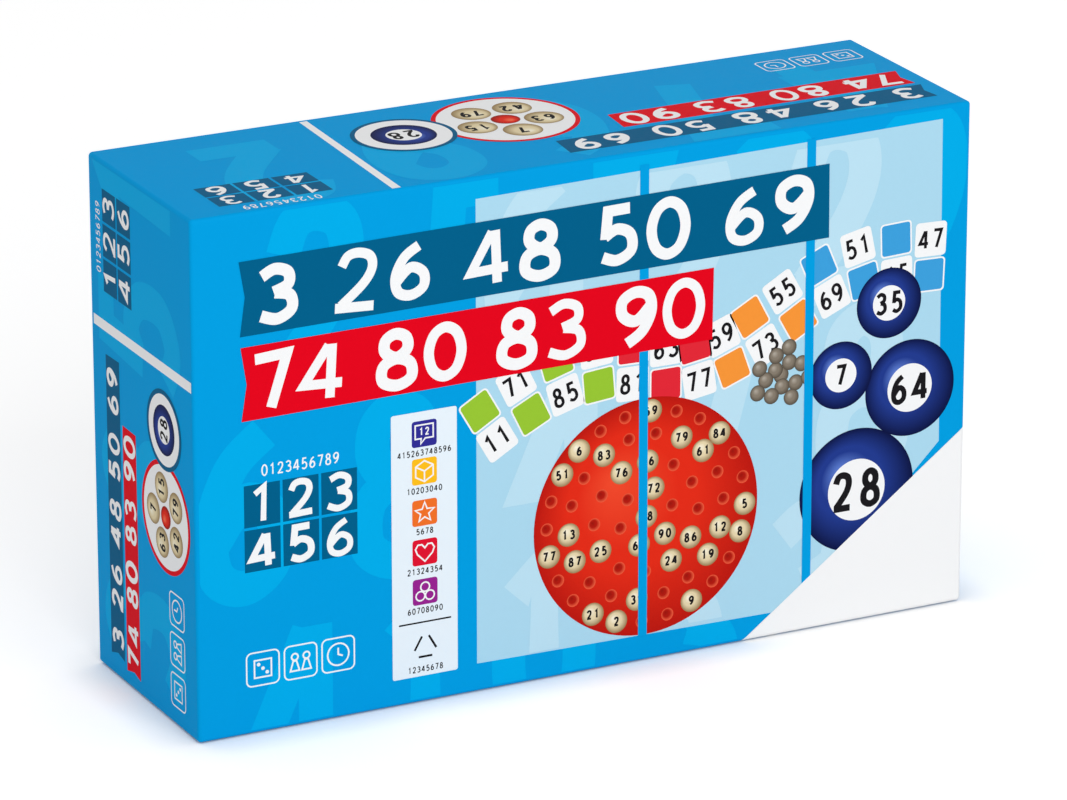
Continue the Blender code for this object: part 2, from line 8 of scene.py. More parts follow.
import bmesh
import bpy
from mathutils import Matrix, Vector


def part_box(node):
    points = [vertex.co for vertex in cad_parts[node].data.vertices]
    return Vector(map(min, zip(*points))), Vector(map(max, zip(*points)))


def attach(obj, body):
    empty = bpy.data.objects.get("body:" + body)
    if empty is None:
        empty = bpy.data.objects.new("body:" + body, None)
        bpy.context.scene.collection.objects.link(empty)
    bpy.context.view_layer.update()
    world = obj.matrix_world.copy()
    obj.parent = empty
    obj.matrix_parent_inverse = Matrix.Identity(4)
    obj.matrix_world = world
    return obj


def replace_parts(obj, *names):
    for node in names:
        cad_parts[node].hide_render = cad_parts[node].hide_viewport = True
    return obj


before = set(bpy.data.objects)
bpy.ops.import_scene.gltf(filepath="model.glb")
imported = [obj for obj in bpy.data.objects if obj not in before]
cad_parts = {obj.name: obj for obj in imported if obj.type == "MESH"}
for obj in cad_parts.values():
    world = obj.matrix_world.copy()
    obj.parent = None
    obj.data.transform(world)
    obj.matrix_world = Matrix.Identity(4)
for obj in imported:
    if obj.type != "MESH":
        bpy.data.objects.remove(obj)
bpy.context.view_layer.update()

MM = 0.001


# Box base
# A shallow tray of grey board, which the lid slides over. One printed sheet is wrapped round its outside
# and turned in over its rim, and the board stays bare inside. Its bottom is the back of the closed box.

BOARD_THICK = 1.6 * MM
PRINT_DEPTH = 0.2 * MM
TURN_IN = 14 * MM
BASE_FOLD = 1 * MM
FOLD_STEPS = 6
BAND_DEGREES = 38
BOX_BLUE = (0, 157, 223)
GREY_BOARD = (196, 190, 180)
GREY_FLECK = (150, 143, 132)

# Noises, by scale, detail and stretch
SHEET_GRAIN = (700, 3)
SHEET_WASH = (9, 2)
BOARD_FLECKS = (1400, 2)
BOARD_FIBRES = (420, 4, (1, 1, 3))

GRAIN_SHARE = 0.35
GRAIN_DEPTH = 0.01 * MM
SHEET_ROUGHNESS = 0.5
SHEET_SPECULAR = 0.02
FLECK_LEVEL = 0.63
FLECK_SHARE = 0.6
FIBRE_SHARE = 0.25
FIBRE_DEPTH = 0.12 * MM


class Value:
    """One socket of a finish. Sums with it add Math nodes."""

    def __init__(self, finish, socket):
        self.finish = finish
        self.socket = socket

    def maths(self, operation, *terms):
        return self.finish.add("Math", {"operation": operation}, dict(enumerate(terms)))

    def __add__(self, other):
        return self.maths("ADD", self, other)

    def __radd__(self, other):
        return self.maths("ADD", other, self)

    def __sub__(self, other):
        return self.maths("SUBTRACT", self, other)

    def __rsub__(self, other):
        return self.maths("SUBTRACT", other, self)

    def __mul__(self, other):
        return self.maths("MULTIPLY", self, other)

    def __rmul__(self, other):
        return self.maths("MULTIPLY", other, self)

    def __gt__(self, other):
        return self.maths("GREATER_THAN", self, other)


class Finish:
    """One material, or the light all round, built up from its nodes."""

    def __init__(self, name, kept_in=None, shader="Principled BSDF"):
        self.material = (bpy.data.materials if kept_in is None else kept_in).new(name)
        self.material.use_nodes = True
        self.nodes = self.material.node_tree.nodes
        self.shader = self.nodes[shader]

    def feed(self, socket, value):
        if isinstance(value, Value):
            self.material.node_tree.links.new(value.socket, socket)
        else:
            socket.default_value = value

    def add(self, kind, settings, sockets, output=0):
        node = self.nodes.new("ShaderNode" + kind)
        for name, setting in settings.items():
            setattr(node, name, setting)
        for name, value in sockets.items():
            self.feed(node.inputs[name], value)
        return Value(self, node.outputs[output])

    def noise(self, scale, detail, stretch=(1, 1, 1)):
        where = self.add("TexCoord", {}, {}, "Object")
        drawn = self.add("VectorMath", {"operation": "MULTIPLY"}, {0: where, 1: stretch})
        return self.add("TexNoise", {}, {"Vector": drawn, "Scale": scale, "Detail": detail})

    def tint(self, mask, under, over):
        return self.add("Mix", {"data_type": "RGBA"}, {0: mask, 6: under, 7: over}, 2)

    def bump(self, height, depth):
        return self.add("Bump", {}, {"Height": height, "Distance": depth})

    def wear(self, **sockets):
        for name, value in sockets.items():
            self.feed(self.shader.inputs[name.replace("_", " ")], value)
        return self.material


def shade(colour, share=1.0):
    """A colour as a paint chart gives it, from 0 to 255, turned into linear light and scaled by a share."""
    channels = []
    for channel in colour:
        part = channel / 255
        linear = part / 12.92 if part <= 0.04045 else ((part + 0.055) / 1.055) ** 2.4
        channels.append(min(1, share * linear))
    return (*channels, 1)


class Patch:
    """A flat place to draw on: its middle, the way across it and the way up it."""

    def __init__(self, middle, across, up):
        self.middle = Vector(middle)
        self.across = Vector(across)
        self.up = Vector(up)
        self.out = self.across.cross(self.up)

    def __call__(self, point, height=0.0):
        return self.middle + self.across * point[0] + self.up * point[1] + self.out * height

    def at(self, x, y, height=0.0, degrees=0.0):
        """A patch with its middle elsewhere on this one, turned anticlockwise."""
        turn = math.radians(degrees)
        across = self.across * math.cos(turn) + self.up * math.sin(turn)
        up = self.up * math.cos(turn) - self.across * math.sin(turn)
        return Patch(self((x, y), height), across, up)


def piece(name, bm, finishes, body, smooth=False):
    """One object from a bmesh, which rides on a body of the game."""
    mesh = bpy.data.meshes.new(name)
    bm.to_mesh(mesh)
    bm.free()
    for finish in finishes:
        mesh.materials.append(finish)
    if smooth:
        mesh.shade_smooth()
        mesh.set_sharp_from_angle(angle=math.radians(BAND_DEGREES))
    made = bpy.data.objects.new(name, mesh)
    bpy.context.scene.collection.objects.link(made)
    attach(made, body)
    return made


def printed(name, colour, roughness=SHEET_ROUGHNESS, specular=SHEET_SPECULAR, spread=0.05):
    """Ink on coated board: the sheet's grain shows faintly in its colour, its gloss and its surface."""
    finish = Finish(name)
    grain = finish.noise(*SHEET_GRAIN)
    mottle = GRAIN_SHARE * grain + (1 - GRAIN_SHARE) * finish.noise(*SHEET_WASH)
    return finish.wear(
        Base_Color=finish.tint(mottle, shade(colour, 1 - spread), shade(colour, 1 + spread)),
        Roughness=roughness + 0.12 * (grain - 0.5),
        Normal=finish.bump(grain, GRAIN_DEPTH),
        Specular_IOR_Level=specular,
    )


def rounded(width, height, corner, x=0.0, y=0.0, steps=FOLD_STEPS):
    """Points of a rectangle with round corners, anticlockwise."""
    points = []
    for quarter, (side, end) in enumerate(((1, 1), (-1, 1), (-1, -1), (1, -1))):
        for step in range(steps + 1):
            angle = (quarter + step / steps) * math.pi / 2
            across = x + side * (width / 2 - corner) + corner * math.cos(angle)
            points.append((across, y + end * (height / 2 - corner) + corner * math.sin(angle)))
    return points


def wrapped_box(place, outer, inner, panel, floor, rim, fold):
    """An open box of board: bare inside (ink 1), with a sheet wrapped round it and turned in (ink 0).
    Outer and inner are width and height, and the other three are heights along the patch's way out."""
    within = rounded(*inner, fold / 2)
    rings = [(within, floor, 1), (within, rim + TURN_IN, 0), (within, rim, 0)]
    rings.append((rounded(*outer, fold), rim, 0))
    for step in range(FOLD_STEPS + 1):
        angle = math.pi / 2 * step / FOLD_STEPS
        inset = fold * (1 - math.cos(angle))
        corner = fold * (1 - step / (2 * FOLD_STEPS))
        outline = rounded(outer[0] - 2 * inset, outer[1] - 2 * inset, corner)
        rings.append((outline, panel - fold * (1 - math.sin(angle)), 0))
    box = bmesh.new()
    loops = [[box.verts.new(place(point, height)) for point in outline] for outline, height, ink in rings]
    for (outline, height, ink), lower, upper in zip(rings, loops, loops[1:]):
        for i in range(len(lower)):
            box.faces.new((lower[i - 1], lower[i], upper[i], upper[i - 1])).material_index = ink
    box.faces.new(reversed(loops[0])).material_index = 1
    box.faces.new(loops[-1])
    bmesh.ops.recalc_face_normals(box, faces=box.faces)
    return box


finish = Finish("grey_board")
flecks = finish.noise(*BOARD_FLECKS) > FLECK_LEVEL
fibres = finish.noise(*BOARD_FIBRES)
mottle = FLECK_SHARE * flecks + FIBRE_SHARE * fibres
grey_board = finish.wear(
    Base_Color=finish.tint(mottle, shade(GREY_BOARD), shade(GREY_FLECK)),
    Roughness=0.8 + 0.1 * fibres,
    Normal=finish.bump(fibres, FIBRE_DEPTH),
    Specular_IOR_Level=0.3,
)
blue_sheet = printed("blue_sheet", BOX_BLUE, spread=0.03)

base_low, base_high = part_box("box_base")
base_wide = base_high.x - base_low.x
base_tall = base_high.z - base_low.z
box = wrapped_box(
    Patch((0, 0, (base_low.z + base_high.z) / 2), (-1, 0, 0), (0, 0, 1)),
    (base_wide, base_tall),
    (base_wide - 2 * BOARD_THICK, base_tall - 2 * BOARD_THICK),
    base_high.y - PRINT_DEPTH, base_high.y - BOARD_THICK, base_low.y, BASE_FOLD)
made = piece("wrapped_base", box, [blue_sheet, grey_board], "base", smooth=True)
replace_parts(made, "box_base")


# Moulded tray
# One sheet of white plastic, drawn over a mould by vacuum. It has a trough for the dispenser and one for
# the counters, a stepped well for the board with the cards under it, and two scoops for a finger.

TRAY_SHEET = 0.8
TRAY_LIP = 8
TRAY_CORNER = 2
CORNER_STEPS = 8
MOUTH = 1.0
MOUTH_STEPS = 4
OVERRUN = 1
TROUGH_STEPS = 30
TROUGH_CORNER = 0.6
LEAST_DEGREES = 2
PLASTIC_CLOUDS = (28, 2)
PLASTIC_SKIN = (260, 2)

# Each trough by where its axis lies across the tray, the axis's height, its radius and its length
TROUGHS = ((101.6, -40.5, 39.2, 177.02), (-132.5, -8.9, 8.3, 40.2))
# Each well by its middle, its width and height, its corner, and the heights of its bed and its mouth
WELLS = ((-30.9, 0, 172.6, 130.6, 10, -22.68, 0), (-30.9, 0, 164.6, 60.6, 3, -45.68, -22.68),
         (-30.9, 65.3, 24, 20, 3, -14, 0), (-30.9, -65.3, 24, 20, 3, -14, 0))


def moulded(name, colour, roughness, ripple=0.03, cloud=0.10, coat=0.0, specular=0.5):
    """Moulded plastic: faint clouds in its colour, and a skin with a ripple in it, in millimetres."""
    finish = Finish(name)
    clouds = finish.noise(*PLASTIC_CLOUDS)
    skin = finish.noise(*PLASTIC_SKIN)
    return finish.wear(
        Base_Color=finish.tint(clouds, shade(colour, 1 - cloud), shade(colour)),
        Roughness=roughness + 0.06 * (skin - 0.5),
        Normal=finish.bump(skin, ripple * MM),
        Coat_Weight=coat,
        Specular_IOR_Level=specular,
    )


def face_of(low, high):
    """A patch at the middle of the front of a box, which is given by two corners."""
    return Patch(((low.x + high.x) / 2, low.y, (low.z + high.z) / 2), (1, 0, 0), (0, 0, 1))


def in_mm(pairs):
    return [(a * MM, b * MM) for a, b in pairs]


def lofted(place, wide, tall, corner, levels, x=0.0, y=0.0):
    """A closed body of rounded outlines, in millimetres. Each level says how far its outline is drawn in,
    all round or across and up, and its height."""
    bm = bmesh.new()
    loops = []
    for inset, height in levels:
        across, up = inset if isinstance(inset, tuple) else (inset, inset)
        width, length = wide - 2 * across, tall - 2 * up
        radius = min(corner - min(across, up), 0.45 * width)
        outline = in_mm(rounded(width, length, radius, x, y, CORNER_STEPS))
        loops.append([bm.verts.new(place(point, height * MM)) for point in outline])
    for lower, upper in zip(loops, loops[1:]):
        for i in range(len(lower)):
            bm.faces.new((lower[i - 1], lower[i], upper[i], upper[i - 1]))
    bm.faces.new(reversed(loops[0]))
    bm.faces.new(loops[-1])
    return bm


def carve(solid, tool, way="DIFFERENCE"):
    """One bmesh with another taken away from it, or joined on."""
    pair = []
    for bm in (solid, tool):
        bmesh.ops.recalc_face_normals(bm, faces=bm.faces)
        mesh = bpy.data.meshes.new("blank")
        bm.to_mesh(mesh)
        bm.free()
        pair.append(bpy.data.objects.new("blank", mesh))
        bpy.context.scene.collection.objects.link(pair[-1])
    step = pair[0].modifiers.new("cut", "BOOLEAN")
    step.operation = way
    step.solver = "EXACT"
    step.object = pair[1]
    left = bmesh.new()
    left.from_mesh(pair[0].evaluated_get(bpy.context.evaluated_depsgraph_get()).to_mesh())
    for blank in pair:
        bpy.data.meshes.remove(blank.data)
    return left


def rounding(inset, height, reach, steps):
    """Levels of a quarter round, up to a height, that draws in by its reach or out by a negative one."""
    angles = [math.pi / 2 * step / steps for step in range(steps + 1)]
    return [(inset + reach * (1 - math.cos(angle)), height - abs(reach) * (1 - math.sin(angle)))
            for angle in angles]


def square_well(x, y, wide, tall, corner, bed, mouth):
    """The two sides of a flat-bottomed well: what its sheet fills, and what is hollow in it."""
    skin = [(-TRAY_SHEET, bed - TRAY_SHEET), (-TRAY_SHEET, mouth - TRAY_SHEET / 2)]
    hollow = [(0, bed)] + rounding(0, mouth, -MOUTH, MOUTH_STEPS) + [(-MOUTH, mouth + OVERRUN)]
    return [lofted(tray_face, wide, tall, corner, levels, x, y) for levels in (skin, hollow)]


def trough(x, axis, radius, length):
    """The same two sides of a well with a half round bottom."""
    sides = []
    for thick in (TRAY_SHEET, 0):
        levels = []
        for step in range(TROUGH_STEPS):
            angle = math.radians(LEAST_DEGREES + (90 - LEAST_DEGREES) * step / TROUGH_STEPS)
            reach = (radius + thick) * math.sin(angle)
            levels.append(((radius - reach, -thick), axis - (radius + thick) * math.cos(angle)))
        levels.append((-thick, axis))
        if thick:
            levels.append((-thick, -TRAY_SHEET / 2))
        else:
            levels += rounding(0, 0, -MOUTH, MOUTH_STEPS) + [(-MOUTH, OVERRUN)]
        sides.append(lofted(tray_face, 2 * radius, length, TROUGH_CORNER, levels, x))
    return sides


low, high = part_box("moulded_tray")
tray_face = face_of(low, high)
rim = [(TRAY_SHEET, -TRAY_SHEET), (TRAY_SHEET, -TRAY_LIP), (0, -TRAY_LIP)]
rim += rounding(0, 0, MOUTH, MOUTH_STEPS)
tray = lofted(tray_face, (high.x - low.x) / MM, (high.z - low.z) / MM, TRAY_CORNER, rim)
wells = [trough(*sizes) for sizes in TROUGHS] + [square_well(*sizes) for sizes in WELLS]
for skin, _ in wells:
    tray = carve(tray, skin, "UNION")
for _, hollow in wells:
    tray = carve(tray, hollow)
tray_white = moulded("tray_white", (232, 233, 235), 0.34, ripple=0.08, cloud=0.04)
made = piece("tray_sheet", tray, [tray_white], "base", smooth=True)
made.modifiers.new("flats_first", "WEIGHTED_NORMAL").keep_sharp = True
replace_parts(made, "moulded_tray")


# Rules sheet and cards
# A folded sheet of thin paper lies under twelve cards of white coated board with round corners. Each card
# is printed with three rows of nine cells: black numbers on white, and a flat tint in the others.

INK_STEP = 0.02
CARD_MARGIN = 4.5
CARD_ROWS = 3
CARD_COLUMNS = 9
CARD_DIGIT_SHARE = 0.46
CARD_PEN_SHARE = 0.085
RULES_IN_WIDTH = 400
ROUND_STEPS = 4
DIGIT_WIDTH_SHARE = 0.56
GAP_IN_PENS = 1.7
STROKE_RISE_SHARE = 0.75
LEAST_MITRE = 0.5
LEAST_BEND = 0.01

# Each digit as a pen draws it: loops, round strokes and straight ones, in shares of the digit's box
DIGIT_STROKE_SHARES = {
    "0": [("loop", (0.5, 1), (0.19, 0.86), (0.06, 0.5), (0.19, 0.14), (0.5, 0), (0.81, 0.14), (0.94, 0.5),
           (0.81, 0.86))],
    "1": [("straight", (0.22, 0.8), (0.56, 1), (0.56, 0))],
    "2": [("round", (0.12, 0.76), (0.26, 0.95), (0.52, 1), (0.8, 0.92), (0.86, 0.7), (0.66, 0.42),
           (0.14, 0.04)), ("straight", (0, 0), (0.94, 0))],
    "3": [("round", (0.12, 0.88), (0.46, 1), (0.8, 0.9), (0.8, 0.66), (0.42, 0.54)),
          ("round", (0.46, 0.53), (0.84, 0.44), (0.88, 0.16), (0.5, 0), (0.08, 0.1))],
    "4": [("straight", (0.62, 0.98), (0.05, 0.27), (0.98, 0.27)), ("straight", (0.7, 1), (0.7, 0))],
    "5": [("straight", (0.84, 1), (0.26, 1), (0.18, 0.45)),
          ("round", (0.17, 0.5), (0.5, 0.62), (0.84, 0.48), (0.86, 0.16), (0.48, 0), (0.1, 0.1))],
    "6": [("round", (0.76, 0.98), (0.36, 0.78), (0.12, 0.42), (0.18, 0.1), (0.52, 0), (0.86, 0.14),
           (0.86, 0.42), (0.52, 0.56), (0.13, 0.3))],
    "7": [("straight", (0.08, 1), (0.9, 1), (0.4, 0))],
    "8": [("loop", (0.5, 1), (0.24, 0.9), (0.22, 0.68), (0.5, 0.54), (0.78, 0.68), (0.76, 0.9)),
          ("loop", (0.5, 0.52), (0.16, 0.4), (0.14, 0.12), (0.5, 0), (0.86, 0.12), (0.84, 0.4))],
    "9": [("round", (0.24, 0.02), (0.64, 0.22), (0.88, 0.58), (0.82, 0.9), (0.48, 1), (0.14, 0.86),
           (0.14, 0.58), (0.48, 0.44), (0.87, 0.7))],
}


def dress(material, *nodes):
    for node in nodes:
        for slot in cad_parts[node].material_slots:
            slot.material = material


def flow(points, closed, steps):
    """A smooth line through points."""
    count = len(points)
    line = []
    for i in range(count if closed else count - 1):
        if closed:
            a, b, c, d = (points[(i + k) % count] for k in (-1, 0, 1, 2))
        else:
            a, b, c, d = (points[min(max(i + k, 0), count - 1)] for k in (-1, 0, 1, 2))
        for step in range(steps):
            t = step / steps
            bend = (2 * a - 5 * b + 4 * c - d) * t * t + (3 * b - a - 3 * c + d) * t**3
            line.append(b + 0.5 * ((c - a) * t + bend))
    return line if closed else line + [points[-1]]


def sweep(bm, line, profile, place, closed=False, paint=0, rise=0.0):
    """Draw a cross-section along a line. The profile gives each point's way to the right and its height.
    On the inside of a tight bend the section is held back, so that it doesn't fold over itself. The line
    may rise by a hair from end to end, so that where it crosses itself one part lies on top."""
    count = len(line)
    rows = []
    for i, here in enumerate(line):
        coming = here - line[i - 1] if i or closed else None
        going = line[(i + 1) % count] - here if i + 1 < count or closed else coming
        coming = coming or going
        reach = (coming.length + going.length) / 2
        coming = coming.normalized()
        going = going.normalized()
        mean = (coming + going).normalized()
        right = Vector((mean.y, -mean.x)) / max(mean.dot(coming), LEAST_MITRE)
        bend = math.asin(max(-1, min(1, coming.cross(going))))
        room = reach / max(abs(bend), LEAST_BEND)
        level = rise * i / count
        row = []
        for side, height in profile:
            inner = side * bend < 0
            side = max(-room, min(room, side)) if inner else side
            row.append(bm.verts.new(place(here + right * side, level + height)))
        rows.append(row)
    for i in range(count if closed else count - 1):
        this, following = rows[i], rows[(i + 1) % count]
        for j in range(len(profile) - 1):
            face = bm.faces.new((this[j], this[j + 1], following[j + 1], following[j]))
            face.material_index = paint


def write(bm, text, height, pen, place, paint=0, profile=None, lift=0.004 * MM, wide=DIGIT_WIDTH_SHARE,
          steps=ROUND_STEPS, lengths=1):
    """Numbers in pen strokes, centred on a patch. A later stroke lies a hair above the one it crosses, and
    straight strokes are drawn in lengths where they follow a curved surface."""
    width = height * wide
    profile = profile or [(-pen / 2, 0), (pen / 2, 0)]
    for index, digit in enumerate(text):
        middle = (index - (len(text) - 1) / 2) * (width + GAP_IN_PENS * pen)
        for order, (kind, *shares) in enumerate(DIGIT_STROKE_SHARES[digit]):
            line = [Vector((middle + (x - 0.5) * width, (y - 0.5) * height)) for x, y in shares]
            if kind == "straight":
                last = line[-1]
                pairs = zip(line, line[1:])
                line = [a.lerp(b, part / lengths) for a, b in pairs for part in range(lengths)]
                line.append(last)
            else:
                line = flow(line, kind == "loop", steps)
            stroke = [(side, level + order * lift) for side, level in profile]
            sweep(bm, line, stroke, place, kind == "loop", paint, STROKE_RISE_SHARE * lift)


def circle(radius, sides=24, x=0.0, y=0.0):
    """Points of a circle, anticlockwise."""
    angles = [math.tau * side / sides for side in range(sides)]
    return [Vector((x + radius * math.cos(angle), y + radius * math.sin(angle))) for angle in angles]


def oblong(width, height, x=0.0, y=0.0):
    """The corners of a rectangle about x, y."""
    corners = ((-1, -1), (1, -1), (1, 1), (-1, 1))
    return [(x + side * width / 2, y + end * height / 2) for side, end in corners]


def spin(points, x, y, degrees):
    """Turn points about their middle, and move that middle to x, y."""
    turn = math.radians(degrees)
    return [(x + a * math.cos(turn) - b * math.sin(turn), y + a * math.sin(turn) + b * math.cos(turn))
            for a, b in points]


def mixed(colours):
    """Flat inks by name. Each is given by its colour and by how far it strays from that colour."""
    return {name: printed(name + "_ink", colour, spread=spread)
            for name, (*colour, spread) in colours.items()}


INKS = mixed({
    "black": (26, 25, 28, 0.05),
    "white": (244, 245, 246, 0.01),
    "green": (150, 196, 52, 0.05),
    "red": (224, 40, 54, 0.05),
    "orange": (244, 148, 56, 0.05),
    "blue": (60, 158, 218, 0.05),
})
CARD_TINTS = ("green", "red", "orange", "blue")
BALL_HIGHLIGHT = (-0.3, 0.36)
BALL_BANDS = 6
BRUSH_WIDTH_SHARE = 0.8
BRUSH_STEPS = 8


class Press:
    """Prints flat inks on one side of a piece, in millimetres from a place on it. Each level of ink lies a
    hair above the one under it."""

    def __init__(self, side, hand=3):
        self.bm = bmesh.new()
        self.shading = self.bm.loops.layers.uv.new("shading")
        self.side = side
        self.hand = random.Random(hand)

    def at(self, x, y, level, degrees=0.0):
        return self.side.at(x * MM, y * MM, level * INK_STEP * MM, degrees)

    def shape(self, ink, level, points):
        place = self.at(0, 0, level)
        face = self.bm.faces.new([self.bm.verts.new(place((x * MM, y * MM))) for x, y in points])
        face.material_index = list(INKS).index(ink)

    def line(self, ink, level, points, pen, closed=False):
        line = [Vector(point) * MM for point in points]
        profile = [(-pen * MM / 2, 0), (pen * MM / 2, 0)]
        sweep(self.bm, line, profile, self.at(0, 0, level), closed, list(INKS).index(ink))

    def ball(self, ink, level, x, y, radius, sides=40):
        """Rings of shade round a bright spot up and to the left of the middle."""
        place = self.at(x, y, level)
        spot = Vector(BALL_HIGHLIGHT) * radius * MM
        rims = circle(radius * MM, sides)
        rings = [[self.bm.verts.new(place(spot.lerp(rim, band / BALL_BANDS))) for rim in rims]
                 for band in range(1, BALL_BANDS + 1)]
        heart = self.bm.verts.new(place(spot))
        for i in range(sides):
            faces = [((heart, rings[0][i - 1], rings[0][i]), (0, 1, 1))]
            for band in range(1, BALL_BANDS):
                inner, outer = rings[band - 1], rings[band]
                corners = (inner[i - 1], outer[i - 1], outer[i], inner[i])
                faces.append((corners, (band, band + 1, band + 1, band)))
            for corners, bands in faces:
                face = self.bm.faces.new(corners)
                face.material_index = list(INKS).index(ink)
                for loop, band in zip(face.loops, bands):
                    loop[self.shading].uv = (band / BALL_BANDS, 0)

    def number(self, ink, level, text, x, y, height, pen, degrees=0.0, steps=ROUND_STEPS):
        place = self.at(x, y, level, degrees)
        write(self.bm, str(text), height * MM, pen * MM, place, list(INKS).index(ink), steps=steps)

    def brush(self, ink, level, text, x, y, height, pen, spacing, degrees=0.0):
        """Numbers painted by hand with a flat brush: each leans, sits and swells in its own way."""
        steps = [0.5 * spacing if digit == " " else spacing for digit in text]
        along = -sum(steps) / 2
        place = self.at(x, y, level, degrees)
        for digit, step in zip(text, steps):
            along += step
            if digit == " ":
                continue
            lean = self.hand.uniform(-4, 4)
            rise = self.hand.uniform(-0.03, 0.03) * height
            tall = self.hand.uniform(0.94, 1.04) * height
            thick = self.hand.uniform(0.9, 1.12) * pen
            spot = place.at((along - step / 2) * MM, rise * MM, 0, lean)
            write(self.bm, digit, tall * MM, thick * MM, spot, list(INKS).index(ink),
                  wide=BRUSH_WIDTH_SHARE, steps=BRUSH_STEPS)

    def trim(self, x0, y0, x1, y1):
        """Cut away everything printed so far that lies outside a rectangle."""
        place = self.at(0, 0, 0)
        across, up = place.across, place.up
        for corner, way in (((x0, y0), -across), ((x0, y0), -up), ((x1, y1), across), ((x1, y1), up)):
            point = place((corner[0] * MM, corner[1] * MM))
            everything = self.bm.verts[:] + self.bm.edges[:] + self.bm.faces[:]
            bmesh.ops.bisect_plane(self.bm, geom=everything, plane_co=point, plane_no=way, clear_outer=True)

    def print(self, name, body, slot="printed_board"):
        used = sorted({face.material_index for face in self.bm.faces})
        for face in self.bm.faces:
            face.material_index = used.index(face.material_index)
        return piece(name, self.bm, [list(INKS.values())[ink] for ink in used], body)


def bingo_card(press, level, number, x, y, wide, tall, degrees=0.0):
    """Three rows of nine cells in one tint: 15 or so hold a number, and the others are filled."""
    tint = CARD_TINTS[number % len(CARD_TINTS)]
    cell_wide = wide / CARD_COLUMNS
    cell_tall = tall / CARD_ROWS
    line = wide / RULES_IN_WIDTH
    digit = CARD_DIGIT_SHARE * cell_tall
    pen = CARD_PEN_SHARE * cell_tall
    for row in range(CARD_ROWS):
        for column in range(CARD_COLUMNS):
            a, b = (column - 4) * cell_wide, (1 - row) * cell_tall
            if (2 * column + 3 * row + number) % 9 < 4:
                press.shape(tint, level, spin(oblong(cell_wide, cell_tall, a, b), x, y, degrees))
            else:
                value = 10 * column + (number + 2 * column) % 3 + 3 * row + (column == 0)
                ((a, b),) = spin([(a, b)], x, y, degrees)
                press.number("black", level + 1, value, a, b, digit, pen, degrees)
    for row in range(CARD_ROWS + 1):
        rule = oblong(wide + line, line, 0, (row - CARD_ROWS / 2) * cell_tall)
        press.shape("black", level + 1.6, spin(rule, x, y, degrees))
    for column in range(CARD_COLUMNS + 1):
        rule = oblong(line, tall - line, (column - CARD_COLUMNS / 2) * cell_wide, 0)
        press.shape("black", level + 1.8, spin(rule, x, y, degrees))


CARDS = [f"card_{number:02}" for number in range(1, 13)]
dress(printed("card_white", (240, 240, 236), spread=0.015), *CARDS)
dress(printed("rules_paper", (236, 236, 232), roughness=0.8, specular=0.2, spread=0.02), "rules_sheet")
for number, node in enumerate(CARDS):
    low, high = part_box(node)
    face = Press(face_of(low, high))
    wide = (high.x - low.x) / MM - 2 * CARD_MARGIN
    bingo_card(face, 1, number, 0, 0, wide, (high.z - low.z) / MM - 2 * CARD_MARGIN)
    face.print(node + "_print", "cards", "white_card")


# Number board
# A shallow shell moulded in glossy red, with a flat plate that closes its back. Each of the 90 sockets is
# a tube with a low collar, and the socket's number stands out of the face just below it.

BOARD_CORNER = 10
BOARD_WALL = 2
BOARD_EDGE = 1.2
# The shell's side from its inner face round its back to its front step, as insets and heights
BOARD_SIDE = [(4.2, -2), (4.2, -13), (0.3, -13), (0, -12.7), (0, -8.5), (0.5, -8), (1.8, -7.6), (2.2, -7)]
SOCKET_TUBE = [(5.0, -0.2), (5.0, 0.05), (4.8, 0.35), (4.4, 0.35), (4.05, -0.1), (4.05, -9.5), (4.7, -9.5),
               (4.7, -0.2)]
SOCKET_HOLE = 4.5
SOCKET_SIDES = 24
SOCKET_DIGIT = 1.8 * MM
SOCKET_PEN = 0.4 * MM
RAISED_PEN = [(-0.3, 0), (-0.15, 0.3), (0.15, 0.3), (0.3, 0)]
NUMBER_DROP = 6.35 * MM
COLUMN_PITCH = 13.5 * MM
ROW_PITCH = 12.6 * MM
MIDDLE_GAP = 27 * MM
LAST_NUMBER = 90


def turned(bm, profile, place, sides, paint=0, ring=False):
    """A profile of radii and heights, spun round a patch's own axis. A ring's profile closes on itself."""
    rings = []
    for radius, height in profile:
        points = circle(radius, sides) if radius else [Vector((0, 0))]
        rings.append([bm.verts.new(place(point, height)) for point in points])
    for lower, upper in zip(rings, rings[1:] + rings[:1] if ring else rings[1:]):
        for i in range(sides):
            corners = [lower[i - 1], lower[i]] if len(lower) > 1 else [lower[0]]
            corners += [upper[i], upper[i - 1]] if len(upper) > 1 else [upper[0]]
            bm.faces.new(corners).material_index = paint


def bar(bm, outline, place, near, far):
    """An outline across and up a patch, drawn out along its way out. All are in millimetres."""
    ends = [[bm.verts.new(place(point, height * MM)) for point in in_mm(outline)] for height in (near, far)]
    for i in range(len(outline)):
        bm.faces.new((ends[0][i - 1], ends[0][i], ends[1][i], ends[1][i - 1]))
    bm.faces.new(reversed(ends[0]))
    bm.faces.new(ends[1])


def socket_place(number):
    row, unit = divmod(number - 1, 10)
    block, column = divmod(unit, 5)
    x = -MIDDLE_GAP / 2 - 4 * COLUMN_PITCH + column * COLUMN_PITCH + block * (4 * COLUMN_PITCH + MIDDLE_GAP)
    return x, (4 - row) * ROW_PITCH


